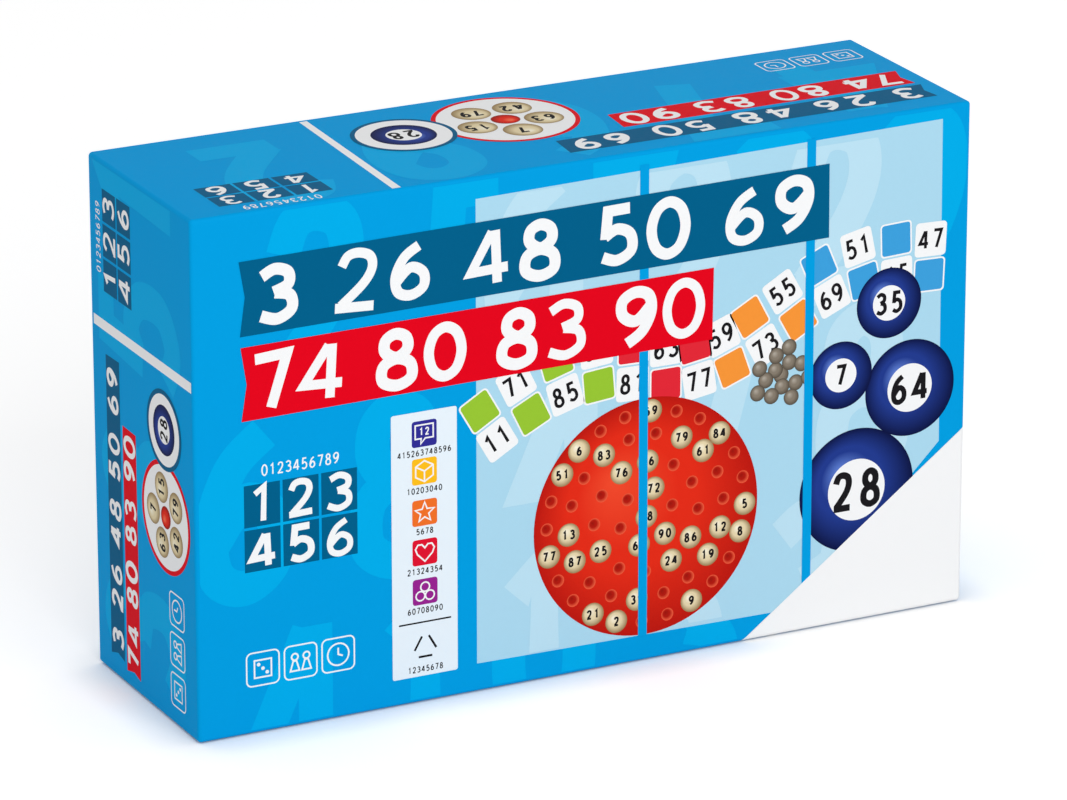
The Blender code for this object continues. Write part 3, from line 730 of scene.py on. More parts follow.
board_red = moulded("board_red", (222, 36, 18), 0.24, ripple=0.04, cloud=0.14, coat=0.1)
dress(board_red, "board_back_plate")
low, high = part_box("number_board")
board_face = face_of(low, high)
levels = BOARD_SIDE + rounding(BOARD_SIDE[-1][0], 0, BOARD_EDGE, CORNER_STEPS)
shell = lofted(board_face, (high.x - low.x) / MM, (high.z - low.z) / MM, BOARD_CORNER, levels)
drills = bmesh.new()
relief = bmesh.new()
for number in range(1, LAST_NUMBER + 1):
    x, y = socket_place(number)
    bar(drills, circle(SOCKET_HOLE, SOCKET_SIDES), board_face.at(x, y), -BOARD_WALL - OVERRUN, OVERRUN)
    turned(relief, in_mm(SOCKET_TUBE), board_face.at(x, y), SOCKET_SIDES, ring=True)
    spot = board_face.at(x, y - NUMBER_DROP)
    write(relief, str(number), SOCKET_DIGIT, SOCKET_PEN, spot, profile=in_mm(RAISED_PEN))
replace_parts(piece("board_shell", carve(shell, drills), [board_red], "board", smooth=True),
            "number_board")
piece("socket_tubes_and_numbers", relief, [board_red], "board", smooth=True)


# Number pegs
# Ninety pegs of ivory plastic: a straight stem under a ball, with the number stamped in black on the top
# of the ball. These are the pegs of the numbers that have been called, pushed into their sockets.

STEM_RADIUS = 4.1 * MM
STEM_LENGTH = 11.4 * MM
STEM_CHAMFER = 0.5 * MM
BALL_RADIUS = 5.1 * MM
BALL_FLAT = 1.6 * MM
BALL_MIDDLE = STEM_LENGTH + math.sqrt(BALL_RADIUS**2 - STEM_RADIUS**2)
PEG_LENGTH = BALL_MIDDLE + math.sqrt(BALL_RADIUS**2 - BALL_FLAT**2)
BALL_RINGS = 12
PEG_SIDES = 24
STAMP_DIGIT = 3.5 * MM
STAMP_PEN = 0.85 * MM
STAMP_HEIGHT = 0.05 * MM
STAMP_LIFT = 0.01 * MM
STAMP_LENGTHS = 8


def peg_profile(rings):
    profile = [(0, 0), (STEM_RADIUS - STEM_CHAMFER, 0), (STEM_RADIUS, STEM_CHAMFER)]
    first = -math.acos(STEM_RADIUS / BALL_RADIUS)
    last = math.acos(BALL_FLAT / BALL_RADIUS)
    for ring in range(rings):
        angle = first + (last - first) * ring / (rings - 1)
        profile.append((BALL_RADIUS * math.cos(angle), BALL_MIDDLE + BALL_RADIUS * math.sin(angle)))
    return profile + [(0, PEG_LENGTH)]


def stamped_peg(bm, number, foot, rings=BALL_RINGS, sides=PEG_SIDES):
    """A peg that stands on a patch, with its number wrapped over the top of the ball."""

    def on_ball(point, height):
        ball = BALL_MIDDLE + math.sqrt(max(BALL_RADIUS**2 - point.length_squared, 0))
        return foot(point, min(ball, PEG_LENGTH) + height + STAMP_HEIGHT)

    turned(bm, peg_profile(rings), foot, sides)
    pen = STAMP_PEN / 2
    profile = [(-pen, 0), (-pen / 3, 0), (pen / 3, 0), (pen, 0)]
    write(bm, str(number), STAMP_DIGIT, STAMP_PEN, on_ball, 1, profile, STAMP_LIFT, lengths=STAMP_LENGTHS)


peg_ivory = moulded("peg_ivory", (232, 218, 184), 0.28, ripple=0.02, cloud=0.08, coat=0.1)
CALLED = sorted(int(node[4:]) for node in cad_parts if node.startswith("peg_") and node != "peg_79")
for number in CALLED:
    node = f"peg_{number:02}"
    low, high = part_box(node)
    foot = Patch(((low.x + high.x) / 2, high.y, (low.z + high.z) / 2), (1, 0, 0), (0, 0, 1))
    peg = bmesh.new()
    stamped_peg(peg, number, foot)
    finishes = [peg_ivory, INKS["black"]]
    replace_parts(piece(f"number_{number:02}", peg, finishes, "called_pegs", smooth=True),
                node)


# Dispenser sleeve and plunger
# The sleeve is a deep cup of glossy navy plastic, with a foot ring and a notch for the thumb. The plunger
# stands in a boss on its floor, and its cupped tip carries the peg that is drawn next.

SLEEVE = [(0, 0), (38.3, 0), (38.7, 0.2), (38.8, 0.6), (38.8, 5.6), (38.6, 6.0), (38.3, 6.5), (38.2, 7.2),
          (38.2, 103.9), (38.0, 104.6), (37.5, 105), (36.8, 105), (36.35, 104.8), (36.2, 104.3), (36.2, 2),
          (9.8, 2), (9.8, 5), (8.3, 5), (8.3, 2), (0, 2)]
PLUNGER = [(0, 2.3), (8, 2.3), (8, 4.3), (7.7, 4.6), (3.9, 4.6), (3.5, 5.2), (3.5, 108.4), (3.3, 108.7),
           (2.7, 108.7), (0, 108.1)]
NOTCH_RADIUS = 13
NOTCH_MIDDLE = 80
NOTCH_TOP = 107
NOTCH_REACH = (20, 42)
NOTCH_STEPS = 20
TURNED_SIDES = 96


def foot_of(low, high):
    """A patch at the middle of the underside of a box, for things that stand on it."""
    return Patch(((low.x + high.x) / 2, (low.y + high.y) / 2, low.z), (1, 0, 0), (0, 1, 0))


low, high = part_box("dispenser_sleeve")
dispenser_foot = foot_of(low, high)
dispenser_front = Patch(dispenser_foot.middle, (1, 0, 0), (0, 0, 1))
sleeve = bmesh.new()
turned(sleeve, in_mm(SLEEVE), dispenser_foot, TURNED_SIDES)
notch = [(NOTCH_RADIUS, NOTCH_TOP)]
for step in range(NOTCH_STEPS + 1):
    angle = -math.pi * step / NOTCH_STEPS
    notch.append((NOTCH_RADIUS * math.cos(angle), NOTCH_MIDDLE + NOTCH_RADIUS * math.sin(angle)))
notch.append((-NOTCH_RADIUS, NOTCH_TOP))
thumb_cutter = bmesh.new()
bar(thumb_cutter, notch, dispenser_front, *NOTCH_REACH)
sleeve = carve(sleeve, thumb_cutter)
sleeve_navy = moulded("sleeve_navy", (28, 42, 112), 0.26, ripple=0.01, cloud=0.18, specular=0.4)
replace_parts(piece("sleeve_cup", sleeve, [sleeve_navy], "dispenser", smooth=True),
            "dispenser_sleeve")

royal_blue = moulded("hopper_royal", (34, 66, 150), 0.28, ripple=0.01, cloud=0.16, specular=0.4)
plunger = bmesh.new()
turned(plunger, in_mm(PLUNGER), dispenser_foot, TURNED_SIDES // 2)
bmesh.ops.recalc_face_normals(plunger, faces=plunger.faces)
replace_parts(piece("plunger", plunger, [royal_blue], "dispenser", smooth=True), "plunger_rod")


# Hopper and loose pegs
# The hopper slides up and down in the sleeve. It holds the 61 pegs that haven't been drawn, heads up and
# heads down by turns in two layers, in two rings round the slotted tube that they rise in.

HOPPER = [(35.6, 2.3), (35.8, 2.6), (35.8, 116.4), (35.6, 116.9), (35.2, 117), (34.7, 117), (34.3, 116.8),
          (34.2, 116.3), (34.2, 70.5), (7.4, 64.5), (7.4, 116.4), (7.2, 116.7), (6.0, 116.7), (5.8, 116.4),
          (5.8, 64.5), (3.9, 64.5), (3.9, 62.9), (7.4, 62.9), (34.2, 68.9), (34.2, 2.3)]
WINDOW = [(5.4, 64.2), (5.4, 85.8), (-5.4, 85.8), (-5.4, 64.2)]
WINDOW_REACH = 9.4
LOOSE_RINGS = 7
LOOSE_SIDES = 14
OUTER_RING = 28.6 * MM
INNER_RING = 18.3 * MM
INNER_COUNT = 12
HEAD_TO_HEAD = 10.4 * MM
# Each layer by its outer ring's foot height and count and its inner ring's foot height
LAYERS = ((70.7 * MM, 19, 68.4 * MM), (90.3 * MM, 18, 88.0 * MM))
LAYER_TURN = 0.11
SHAKE = 37


def ring_angles(count, radius):
    """Even steps round a ring, but for an odd count the last step is wider, where two heads meet."""
    if count % 2 == 0:
        return [math.tau * i / count for i in range(count)]
    wide = 2 * math.asin(HEAD_TO_HEAD / (2 * radius))
    return [(math.tau - wide) * i / (count - 1) for i in range(count)]


hopper = bmesh.new()
turned(hopper, in_mm(HOPPER), dispenser_foot, TURNED_SIDES, ring=True)
window_cutter = bmesh.new()
bar(window_cutter, WINDOW, dispenser_front, -WINDOW_REACH, WINDOW_REACH)
hopper = carve(hopper, window_cutter)
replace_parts(piece("hopper_drum", hopper, [royal_blue], "hopper", smooth=True), "hopper")

waiting = [number for number in range(1, LAST_NUMBER + 1) if number not in CALLED and number != 79]
shaken = iter(sorted(waiting, key=lambda number: number * SHAKE % (LAST_NUMBER + 1)))
loose = bmesh.new()
for layer, (outer_height, outer_count, inner_height) in enumerate(LAYERS):
    outer = (outer_height, OUTER_RING, outer_count)
    inner = (inner_height, INNER_RING, INNER_COUNT)
    for foot_height, radius, count in (outer, inner):
        for index, angle in enumerate(ring_angles(count, radius)):
            turn = angle + LAYER_TURN * layer
            spot = (radius * math.cos(turn), radius * math.sin(turn))
            stand = dispenser_foot.at(*spot, foot_height, math.degrees(3 * turn))
            if index % 2 == 0:
                crown = stand((0, 0), PEG_LENGTH)
                stand = Patch(crown, stand.across, -stand.up)
            stamped_peg(loose, next(shaken), stand, LOOSE_RINGS, LOOSE_SIDES)
piece("loose_pegs", loose, [peg_ivory, INKS["black"]], "hopper", smooth=True)


# Cap and drawn peg
# The cap is a bevelled disc with a ring under it that plugs into the hopper. The peg that has just been
# pushed up stands in its middle hole.

CAP = [(6.0, 117.6), (6.3, 117.3), (32.4, 117.3), (32.4, 113.3), (33.5, 113.3), (33.8, 113.7), (33.8, 117.3),
       (36.3, 117.3), (36.6, 117.6), (36.6, 119.1), (36.4, 119.7), (36.0, 120.1), (35.4, 120.3), (7.2, 120.3),
       (6.5, 120.1), (6.0, 119.6)]

cap = bmesh.new()
turned(cap, in_mm(CAP), dispenser_foot, TURNED_SIDES, ring=True)
bmesh.ops.recalc_face_normals(cap, faces=cap.faces)
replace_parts(piece("hopper_cap", cap, [royal_blue], "cap", smooth=True), "dispenser_cap")

low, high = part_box("peg_79")
peg = bmesh.new()
stamped_peg(peg, 79, foot_of(low, high))
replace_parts(piece("number_79", peg, [peg_ivory, INKS["black"]], "drawn_peg", smooth=True),
            "peg_79")


# Counters
# Thin discs of smoky plastic, thirty in three rolls of ten. Each has a fine rim and a dished face, and
# they lie face to face in their trough.

COUNTER_THICK = 1.3
COUNTER_HALF = [(0, 0.25), (6.3, 0.25), (6.8, 0.02), (7.5, 0.02), (7.9, 0.4)]
COUNTER_SIDES = 40
ROLL_COUNT = 10

counter_smoke = moulded("counter_smoke", (150, 138, 124), 0.24, ripple=0.02, cloud=0.22, coat=0.2)
other_half = [(radius, COUNTER_THICK - height) for radius, height in reversed(COUNTER_HALF)]
for roll in range(1, 4):
    low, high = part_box(f"counter_roll_{roll}")
    discs = bmesh.new()
    for index in range(ROLL_COUNT):
        disc = [(radius, height + index * COUNTER_THICK) for radius, height in COUNTER_HALF + other_half]
        turned(discs, in_mm(disc), foot_of(low, high), COUNTER_SIDES)
    bmesh.ops.recalc_face_normals(discs, faces=discs.faces)
    made = piece(f"counters_{roll}", discs, [counter_smoke], "counters", smooth=True)
    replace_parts(made, f"counter_roll_{roll}")


# Box lid
# Five panels of grey board, folded up and wrapped in one printed sheet that is turned in over the rim.
# The folds are soft, and the white of one corner of the print runs over them.

LID_FOLD = 1.4 * MM
WHITE_CORNER = (90 * MM, 67 * MM)

lid_low, lid_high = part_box("box_lid")
LENGTH = lid_high.x - lid_low.x
DEPTH = lid_high.y - lid_low.y
HEIGHT = lid_high.z - lid_low.z
box = wrapped_box(
    Patch((0, 0, (lid_low.z + lid_high.z) / 2), (1, 0, 0), (0, 0, 1)),
    (LENGTH - 2 * PRINT_DEPTH, HEIGHT - 2 * PRINT_DEPTH),
    (LENGTH - 2 * BOARD_THICK, HEIGHT - 2 * BOARD_THICK),
    -lid_low.y - PRINT_DEPTH, -lid_low.y - BOARD_THICK, -lid_high.y, LID_FOLD)
white_way = Vector((WHITE_CORNER[1], 0, -WHITE_CORNER[0])).normalized()
white_place = Vector((lid_high.x, 0, WHITE_CORNER[1]))
everything = box.verts[:] + box.edges[:] + box.faces[:]
bmesh.ops.bisect_plane(box, geom=everything, plane_co=white_place, plane_no=white_way)
for face in box.faces:
    middle = face.calc_center_median()
    if (middle - white_place).dot(white_way) > 0 and middle.y < lid_low.y + LID_FOLD:
        face.material_index = 2
finishes = [blue_sheet, grey_board, INKS["white"]]
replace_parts(piece("wrapped_lid", box, finishes, "lid", smooth=True), "box_lid")


# Front print
# The main panel's print: large pale figures on the blue, a wide picture panel crossed by two blue bars
# with a white corner, number banners, teal number tiles, and a pale strip of small signs.

BANNER_NUMBERS = {"teal": "3 26 48 50 69", "scarlet": "74 80 83 90"}
GHOST_HEIGHT = 56
GHOST_PEN = 13
BRIGHT_FADE = 2.2
DARK_FADE = 2.4
DARK_START = 0.58

# The bright, the middle and the dark colour of each shaded ball
BALL_COLOURS = {
    "ivory_ball": ((250, 244, 222), (228, 212, 172), (150, 124, 84)),
    "navy_ball": ((96, 130, 214), (34, 58, 140), (12, 20, 64)),
    "red_ball": ((255, 120, 84), (228, 44, 26), (142, 16, 10)),
    "red_disc": ((240, 74, 44), (226, 44, 24), (186, 24, 16)),
    "red_socket": ((150, 22, 14), (176, 26, 16), (236, 92, 62)),
    "smoke_ball": ((176, 168, 156), (132, 122, 108), (84, 76, 66)),
}


def ball_ink(name, bright, colour, dark):
    """Ink printed as a shaded ball: how far a point is from the ball's bright spot is kept in the mesh."""
    finish = Finish(name)
    spot = finish.add("SeparateXYZ", {}, {"Vector": finish.add("UVMap", {"uv_map": "shading"}, {})})
    near = finish.tint(finish.add("Clamp", {}, {0: BRIGHT_FADE * spot}), shade(bright), shade(colour))
    far = finish.add("Clamp", {}, {0: DARK_FADE * (spot - DARK_START)})
    return finish.wear(
        Base_Color=finish.tint(far, near, shade(dark)),
        Roughness=SHEET_ROUGHNESS,
        Normal=finish.bump(finish.noise(*SHEET_GRAIN), GRAIN_DEPTH),
        Specular_IOR_Level=SHEET_SPECULAR,
    )


INKS |= mixed({
    "light_blue": (0, 171, 231, 0.02),
    "box_blue": (*BOX_BLUE, 0.02),
    "pale_blue": (170, 215, 236, 0.03),
    "paler_blue": (186, 223, 240, 0.02),
    "strip": (230, 241, 249, 0.01),
    "teal": (0, 94, 136, 0.04),
    "scarlet": (226, 4, 28, 0.03),
    "navy": (48, 46, 146, 0.05),
    "yellow": (253, 190, 28, 0.05),
    "tangerine": (240, 112, 40, 0.05),
    "crimson": (222, 20, 48, 0.05),
    "purple": (150, 36, 142, 0.05),
})
INKS |= {name: ball_ink(name + "_ink", *colours) for name, colours in BALL_COLOURS.items()}


def pale_figures(name, side, rows, window, body="lid", ink="light_blue", level=1):
    """Rows of very large digits, a little paler than what they are printed on, cut off at a window."""
    press = Press(side)
    for y, digits, places in rows:
        for digit, x in zip(digits, places):
            press.number(ink, level, digit, x, y, GHOST_HEIGHT, GHOST_PEN, steps=BRUSH_STEPS)
    press.trim(*window)
    press.print(name, body)


def star(points, outer, inner):
    corners = []
    for point in range(2 * points):
        radius = inner if point % 2 else outer
        angle = math.pi * point / points
        corners.append((radius * math.sin(angle), radius * math.cos(angle)))
    return corners


def rounds(radius, places, sides=14):
    return [(True, circle(radius, sides, *place)) for place in places]


# Small line drawings of plain things, as closed or open lines in shares of their size
SIGNS = {
    "bubble": [(True, [(-0.36, -0.18), (-0.36, 0.34), (0.36, 0.34), (0.36, -0.18), (0.04, -0.18),
                       (-0.14, -0.38), (-0.12, -0.18)])],
    "cube": [(True, [(0, 0.4), (0.35, 0.2), (0.35, -0.2), (0, -0.4), (-0.35, -0.2), (-0.35, 0.2)]),
             (False, [(-0.35, 0.2), (0, 0), (0.35, 0.2)]), (False, [(0, 0), (0, -0.4)])],
    "star": [(True, star(5, 0.4, 0.17))],
    "heart": [(True, [(0, -0.36), (0.3, -0.06), (0.38, 0.14), (0.28, 0.3), (0.12, 0.3), (0, 0.16),
                      (-0.12, 0.3), (-0.28, 0.3), (-0.38, 0.14), (-0.3, -0.06)])],
    "balls": rounds(0.18, ((0, 0.18), (-0.19, -0.16), (0.19, -0.16))),
    "triangle": [(False, [(-0.32, -0.1), (-0.1, 0.28)]), (False, [(0.1, 0.28), (0.32, -0.1)]),
                 (False, [(0.2, -0.3), (-0.2, -0.3)])],
    "clock": rounds(0.33, ((0, 0),), 24) + [(False, [(0, 0.2), (0, 0), (0.14, -0.06)])],
    "pawns": rounds(0.1, ((-0.18, 0.16), (0.18, 0.16))) + [
        (True, [(a - 0.14, -0.26), (a + 0.14, -0.26), (a + 0.05, 0.04), (a - 0.05, 0.04)])
        for a in (-0.18, 0.18)],
    "die": [(True, oblong(0.52, 0.52))] + rounds(0.03, ((-0.13, 0.13), (0.13, -0.13), (0, 0)), 8),
}


def sign(press, kind, x, y, size, level, ink, pen):
    for order, (closed, shares) in enumerate(SIGNS[kind]):
        points = [(x + size * a, y + size * b) for a, b in shares]
        press.line(ink, level + 0.15 * order, points, pen, closed)


def number_tiles(press, x, y, width, height, level=2):
    """Teal tiles in two rows of three, each with a brushed white digit, under a line of small digits."""
    small = 0.088 * width
    press.number("white", level, "0123456789", x, y + height / 2 + 1.25 * small, small, 0.14 * small)
    tile_wide = (width - 2) / 3
    tile_tall = (height - 1) / 2
    for index, digit in enumerate("123456"):
        a = x + (index % 3 - 1) * (tile_wide + 1)
        b = y + (0.5 - index // 3) * (tile_tall + 1)
        press.shape("teal", level, oblong(tile_wide, tile_tall, a, b))
        press.brush("white", level + 1, digit, a, b, 0.78 * tile_tall, 0.15 * tile_tall, 0)


def outlined_signs(press, x, y, size, pitch, level=2):
    """Three outlined squares: a die, two pawns and a clock."""
    for index, kind in enumerate(("die", "pawns", "clock")):
        a = x + (index - 1) * pitch
        press.line("white", level, rounded(size, size, 0.16 * size, a, y), 0.045 * size, closed=True)
        sign(press, kind, a, y, size, level, "white", 0.05 * size)


def numbered_ball(press, ink, levels, x, y, radius, text, sides):
    """A shaded ball, a white disc on it and a black number on that, each at its own level."""
    ball, disc, digits = levels
    press.ball(ink, ball, x, y, radius, sides)
    press.shape("white", disc, circle(0.5 * radius, 48, x, y))
    press.number("black", digits, text, x, y, 0.54 * radius, 0.11 * radius)


def banner(press, ink, outline, *brushed, level=2, rise=1):
    """A band of flat ink, with its numbers brushed on it at a place, height, pen, spacing and lean."""
    press.shape(ink, level, outline)
    press.brush("white", level + rise, BANNER_NUMBERS[ink], *brushed)


edge_x = (LENGTH / 2 - LID_FOLD - PRINT_DEPTH) / MM
edge_low = (LID_FOLD + PRINT_DEPTH) / MM
edge_high = (HEIGHT - LID_FOLD - PRINT_DEPTH) / MM
front = Patch((0, lid_low.y + PRINT_DEPTH, 0), (1, 0, 0), (0, 0, 1))
pale_figures("front_pale_figures", front, (
    (156, "25739", (-104, -46, 14, 72, 130)),
    (82, "68", (-132, -74)),
    (8, "41035", (-112, -66, -18, 40, 98))), (-edge_x, edge_low, edge_x, edge_high))

picture = Press(front)
picture.shape("pale_blue", 2, [(-44, 10.7), (84.8, 9), (139.4, 62.9), (138.4, 182.9), (-44, 180)])
picture.print("picture_ground", "lid")
pale_figures("picture_pale_figures", front, (
    (156, "692", (-22, 36, 96)),
    (86, "478", (-10, 48, 108)),
    (16, "153", (-20, 34, 88))), (-43.9, 11, 138.4, 179.8), ink="paler_blue", level=3)

# Two rows of number tiles, which climb from left to right in a wave
TILE = 12.6
TILE_COUNT = 14
TILE_WAVES = 1.5
ROW_STEP = 13.2
art = Press(front, hand=11)
for row in (0, 1):
    for index in range(TILE_COUNT):
        share = index / (TILE_COUNT - 1)
        wave = TILE_WAVES * math.tau * share
        tilt = 14 + 16 * math.cos(wave)
        x = -36 + 170 * share - ROW_STEP * row * math.sin(math.radians(tilt))
        y = 92 + 34 * share + 7 * math.sin(wave) + ROW_STEP * row * math.cos(math.radians(tilt))
        art.shape("white", 4, spin(rounded(TILE, TILE, 1.4, steps=3), x, y, tilt))
        if (index + row) % 2:
            tint = CARD_TINTS[min(int(share * 4), 3)]
            art.shape(tint, 4.4, spin(rounded(TILE - 1.2, TILE - 1.2, 1.0, steps=3), x, y, tilt))
        else:
            art.number("black", 4.4, 11 + (37 * index + 23 * row) % 78, x, y, 6.4, 1.15, tilt)
# A red disc, with number balls in rings and small dark sockets between them
DISC = Vector((22, 54))
DISC_RADIUS = 44
DISC_RINGS = ((0, 1), (10.5, 6), (20.5, 12), (30.5, 18), (39, 24))
art.ball("red_disc", 4.8, *DISC, DISC_RADIUS, 96)
ball_numbers = iter(art.hand.sample(range(1, LAST_NUMBER + 1), LAST_NUMBER))
for ring, (radius, count) in enumerate(DISC_RINGS):
    for index in range(count):
        turn = math.tau * (index / count + 0.04 * ring)
        x, y = DISC + radius * Vector((math.cos(turn), math.sin(turn)))
        if (index * 5 + ring * 3) % 7 < 3:
            art.ball("ivory_ball", 5.2 + 0.05 * ring, x, y, 4.3, 28)
            art.number("black", 5.6, next(ball_numbers), x, y, 2.9, 0.75)
        else:
            art.ball("red_socket", 5.2, x, y, 2.4, 20)
# A heap of big navy balls, and small smoky ones beside it
NAVY_BALLS = ((106, 50, 23, 28), (127, 85, 18, 64), (99, 94, 12.5, 7), (118, 118, 13, 35))
for order, sizes in enumerate(NAVY_BALLS):
    numbered_ball(art, "navy_ball", (5.6 + 0.1 * order, 6, 6.3), *sizes, 72)
for index in range(14):
    radius = 3.1 * math.sqrt(index)
    turn = 2.4 * index
    x, y = 75 + radius * math.cos(turn), 98 + radius * math.sin(turn)
    art.ball("smoke_ball", 5 + 0.04 * index, x, y, 3.0, 24)
art.print("picture_art", "lid")

STRIP_X = -63.9
STRIP_SIGN = 9.5
STRIP_DIGIT = 2
STRIP_PEN = 0.36
STRIP_SIGNS = (("navy", "bubble", 98.9, "415263748596"), ("yellow", "cube", 85.2, "10203040"),
               ("tangerine", "star", 70.1, "5678"), ("crimson", "heart", 55.6, "21324354"),
               ("purple", "balls", 41.1, "60708090"))
frames = Press(front)
for x in (18.9, 84.3):
    frames.shape("box_blue", 6.7, [(x, 9.5), (x + 3.5, 9.5), (x + 3.5, 183), (x, 183)])
slope = WHITE_CORNER[1] / WHITE_CORNER[0]
corner_foot = (lid_high.x - WHITE_CORNER[0]) / MM + edge_low / slope
corner_top = (edge_x - corner_foot) * slope + edge_low
frames.shape("white", 7, [(corner_foot, edge_low), (edge_x, edge_low), (edge_x, corner_top)])
frames.shape("strip", 7, rounded(25, 97, 0.8, -64, 58.5, steps=3))
for ink, kind, y, digits in STRIP_SIGNS:
    frames.shape(ink, 7.4, rounded(STRIP_SIGN, STRIP_SIGN, 1, STRIP_X, y, steps=3))
    sign(frames, kind, STRIP_X, y, STRIP_SIGN, 7.8, "white", 0.55)
    frames.number("black", 7.4, digits, STRIP_X, y - 6.8, STRIP_DIGIT, STRIP_PEN)
frames.number("black", 7.4, "12345678", STRIP_X, 12.6, STRIP_DIGIT, STRIP_PEN)
frames.number("white", 7.8, 12, STRIP_X, 99.7, 2.4, 0.5)
frames.line("black", 7.4, [(-74, 29.9), (-54, 29.9)], 0.6)
sign(frames, "triangle", STRIP_X, 21, 13, 7.4, "black", 0.8)
frames.print("bars_corner_and_signs", "lid")

press = Press(front, hand=9)
banner(press, "teal", [(-132.2, 144.2), (93.4, 145.9), (93.2, 173.0), (-132.3, 170.7), (-130.2, 158)],
       -19.5, 158.6, 18.6, 3.8, 19.8, 0.5, level=8, rise=0.5)
banner(press, "scarlet", [(-132.1, 114.0), (47.5, 115.5), (47.9, 141.7), (-132.1, 140.3), (-130.0, 127)],
       -42, 127.9, 18.6, 3.8, 18.4, 0.5, level=8, rise=0.5)
number_tiles(press, -110.5, 75.1, 42.3, 31.4)
outlined_signs(press, -111.3, 23.7, 12.2, 14.2)
press.print("front_banners", "lid")


# Top and bottom prints
# The same blue sheet runs over the long narrow sides. It is printed the other way up there, so that it
# reads from behind: a white stripe, two number banners, two round pictures, tiles and signs.

ROUND_RIM = 1.7
LONG_SIDE = {
    "reach": edge_x,
    "hand": 21,
    "stripe": (68.1, 71.0, 74.6, 71.4),
    "teal": ([(-143.9, 16.9), (1.4, 18.4), (2.9, 32.7), (-142.5, 31.3), (-141.4, 23.8)],
             -70.5, 24.9, 10.4, 2.2, 12.8, 0.6),
    "scarlet": ([(-143.9, -1.2), (-28.5, -0.6), (-27, 14.7), (-143, 14.4), (-141.6, 6.5)],
                -85.6, 6.9, 10.6, 2.2, 11.9, 0.3),
    "pictures": ((45.1, -11.3, 18.6), (5.6, -11.8, 26)),
    "tiles": (113.8, 22.3, 42, 21.4),
    "signs": (-122.8, -26.4, 11.4, 13.8),
}


def round_pictures(press, level, places):
    """Two rimmed rounds: a teal one with a navy ball, over the edge of a red one with ivory balls."""
    for (x, y, radius), rim, rise in zip(places, ("teal", "scarlet"), (1, 0)):
        press.shape(rim, level + rise, circle(radius, 64, x, y))
        press.shape("white", level + rise + 0.5, circle(radius - ROUND_RIM, 64, x, y))
    (x, y, radius), (other_x, other_y, other_radius) = places
    press.ball("navy_ball", level + 2, x, y, 0.62 * radius)
    press.shape("white", level + 2.5, circle(0.34 * radius, 40, x, y))
    press.number("black", level + 3, 28, x, y, 0.36 * radius, 0.07 * radius)
    press.ball("red_ball", level + 2, other_x, other_y, 0.2 * other_radius, 28)
    for index, text in enumerate((7, 15, 79, 42, 63)):
        turn = math.tau * index / 5
        x = other_x + 0.52 * other_radius * math.sin(turn)
        y = other_y + 0.52 * other_radius * math.cos(turn)
        press.ball("ivory_ball", level + 2, x, y, 0.27 * other_radius, 28)
        press.number("black", level + 2.5, text, x, y, 0.2 * other_radius, 0.045 * other_radius)


def narrow_side(name, patch, figures, reach, hand, stripe, teal, scarlet, pictures, tiles, signs):
    """The print of one of the lid's four narrow sides, from the places of all that is on it."""
    deep = (DEPTH / 2 - LID_FOLD) / MM
    pale_figures(name + "_pale_figures", patch, figures, (-reach, -deep, reach, deep))
    press = Press(patch, hand)
    press.shape("white", 2, list(zip(stripe, (-deep, -deep, deep, deep))))
    banner(press, "teal", *teal)
    banner(press, "scarlet", *scarlet)
    round_pictures(press, 4, pictures)
    number_tiles(press, *tiles)
    outlined_signs(press, *signs)
    press.print(name + "_print", "lid")


top = Patch((0, 0, lid_high.z - PRINT_DEPTH), (-1, 0, 0), (0, -1, 0))
bottom = Patch((0, 0, lid_low.z + PRINT_DEPTH), (1, 0, 0), (0, -1, 0))
places = (-118, -62, -6, 50, 106)
narrow_side("top", top, ((6, "47692", places),), **LONG_SIDE)
narrow_side("bottom", bottom, ((6, "81350", places),), **LONG_SIDE)


# End prints
# The two short ends carry a narrow copy of the same design, turned to read along the height of the box.

SHORT_END = {
    "reach": (HEIGHT / 2 - LID_FOLD - PRINT_DEPTH) / MM,
    "hand": 31,
    "stripe": (32.5, 36.3, 36.3, 32.5),
    "teal": ([(-86, 20.3), (24.5, 19.9), (24.2, 31.4), (-86.2, 31.8), (-84.6, 26)],
             -31, 25.8, 8.2, 1.8, 9.6),
    "scarlet": ([(-88.5, 6.6), (2, 6.8), (2.3, 18.0), (-88.3, 18.2), (-87, 12)],
                -43, 12.4, 8.2, 1.8, 9.2),
    "pictures": ((12, -17.7, 14.4), (-19.5, -18.0, 20.2)),
    "tiles": (65.5, 19.8, 37, 23.6),
    "signs": (-66, -25.7, 12, 14.8),
}

left = Patch((lid_low.x + PRINT_DEPTH, 0, HEIGHT / 2), (0, 0, 1), (0, 1, 0))
right = Patch((lid_high.x - PRINT_DEPTH, 0, HEIGHT / 2), (0, 0, -1), (0, 1, 0))
narrow_side("left_end", left, ((2, "3851", (-70, -14, 42, 88)),), **SHORT_END)
narrow_side("right_end", right, ((2, "6294", (-70, -14, 42, 90)),), **SHORT_END)


# Back print
# The base's bottom closes the back of the box. It repeats the banners, over a pale panel with four small
# number cards and a few balls.

# The cards' middles and tilts, and the balls' middles, radii, numbers and inks
BACK_CARDS = ((-86, 87, 3), (6, 87, -2), (-86, 42, -3), (6, 42, 2))
BACK_BALLS = ((82, 92, 15, 9, "navy_ball"), (112, 72, 19, 37, "red_ball"), (84, 48, 17, 61, "ivory_ball"))

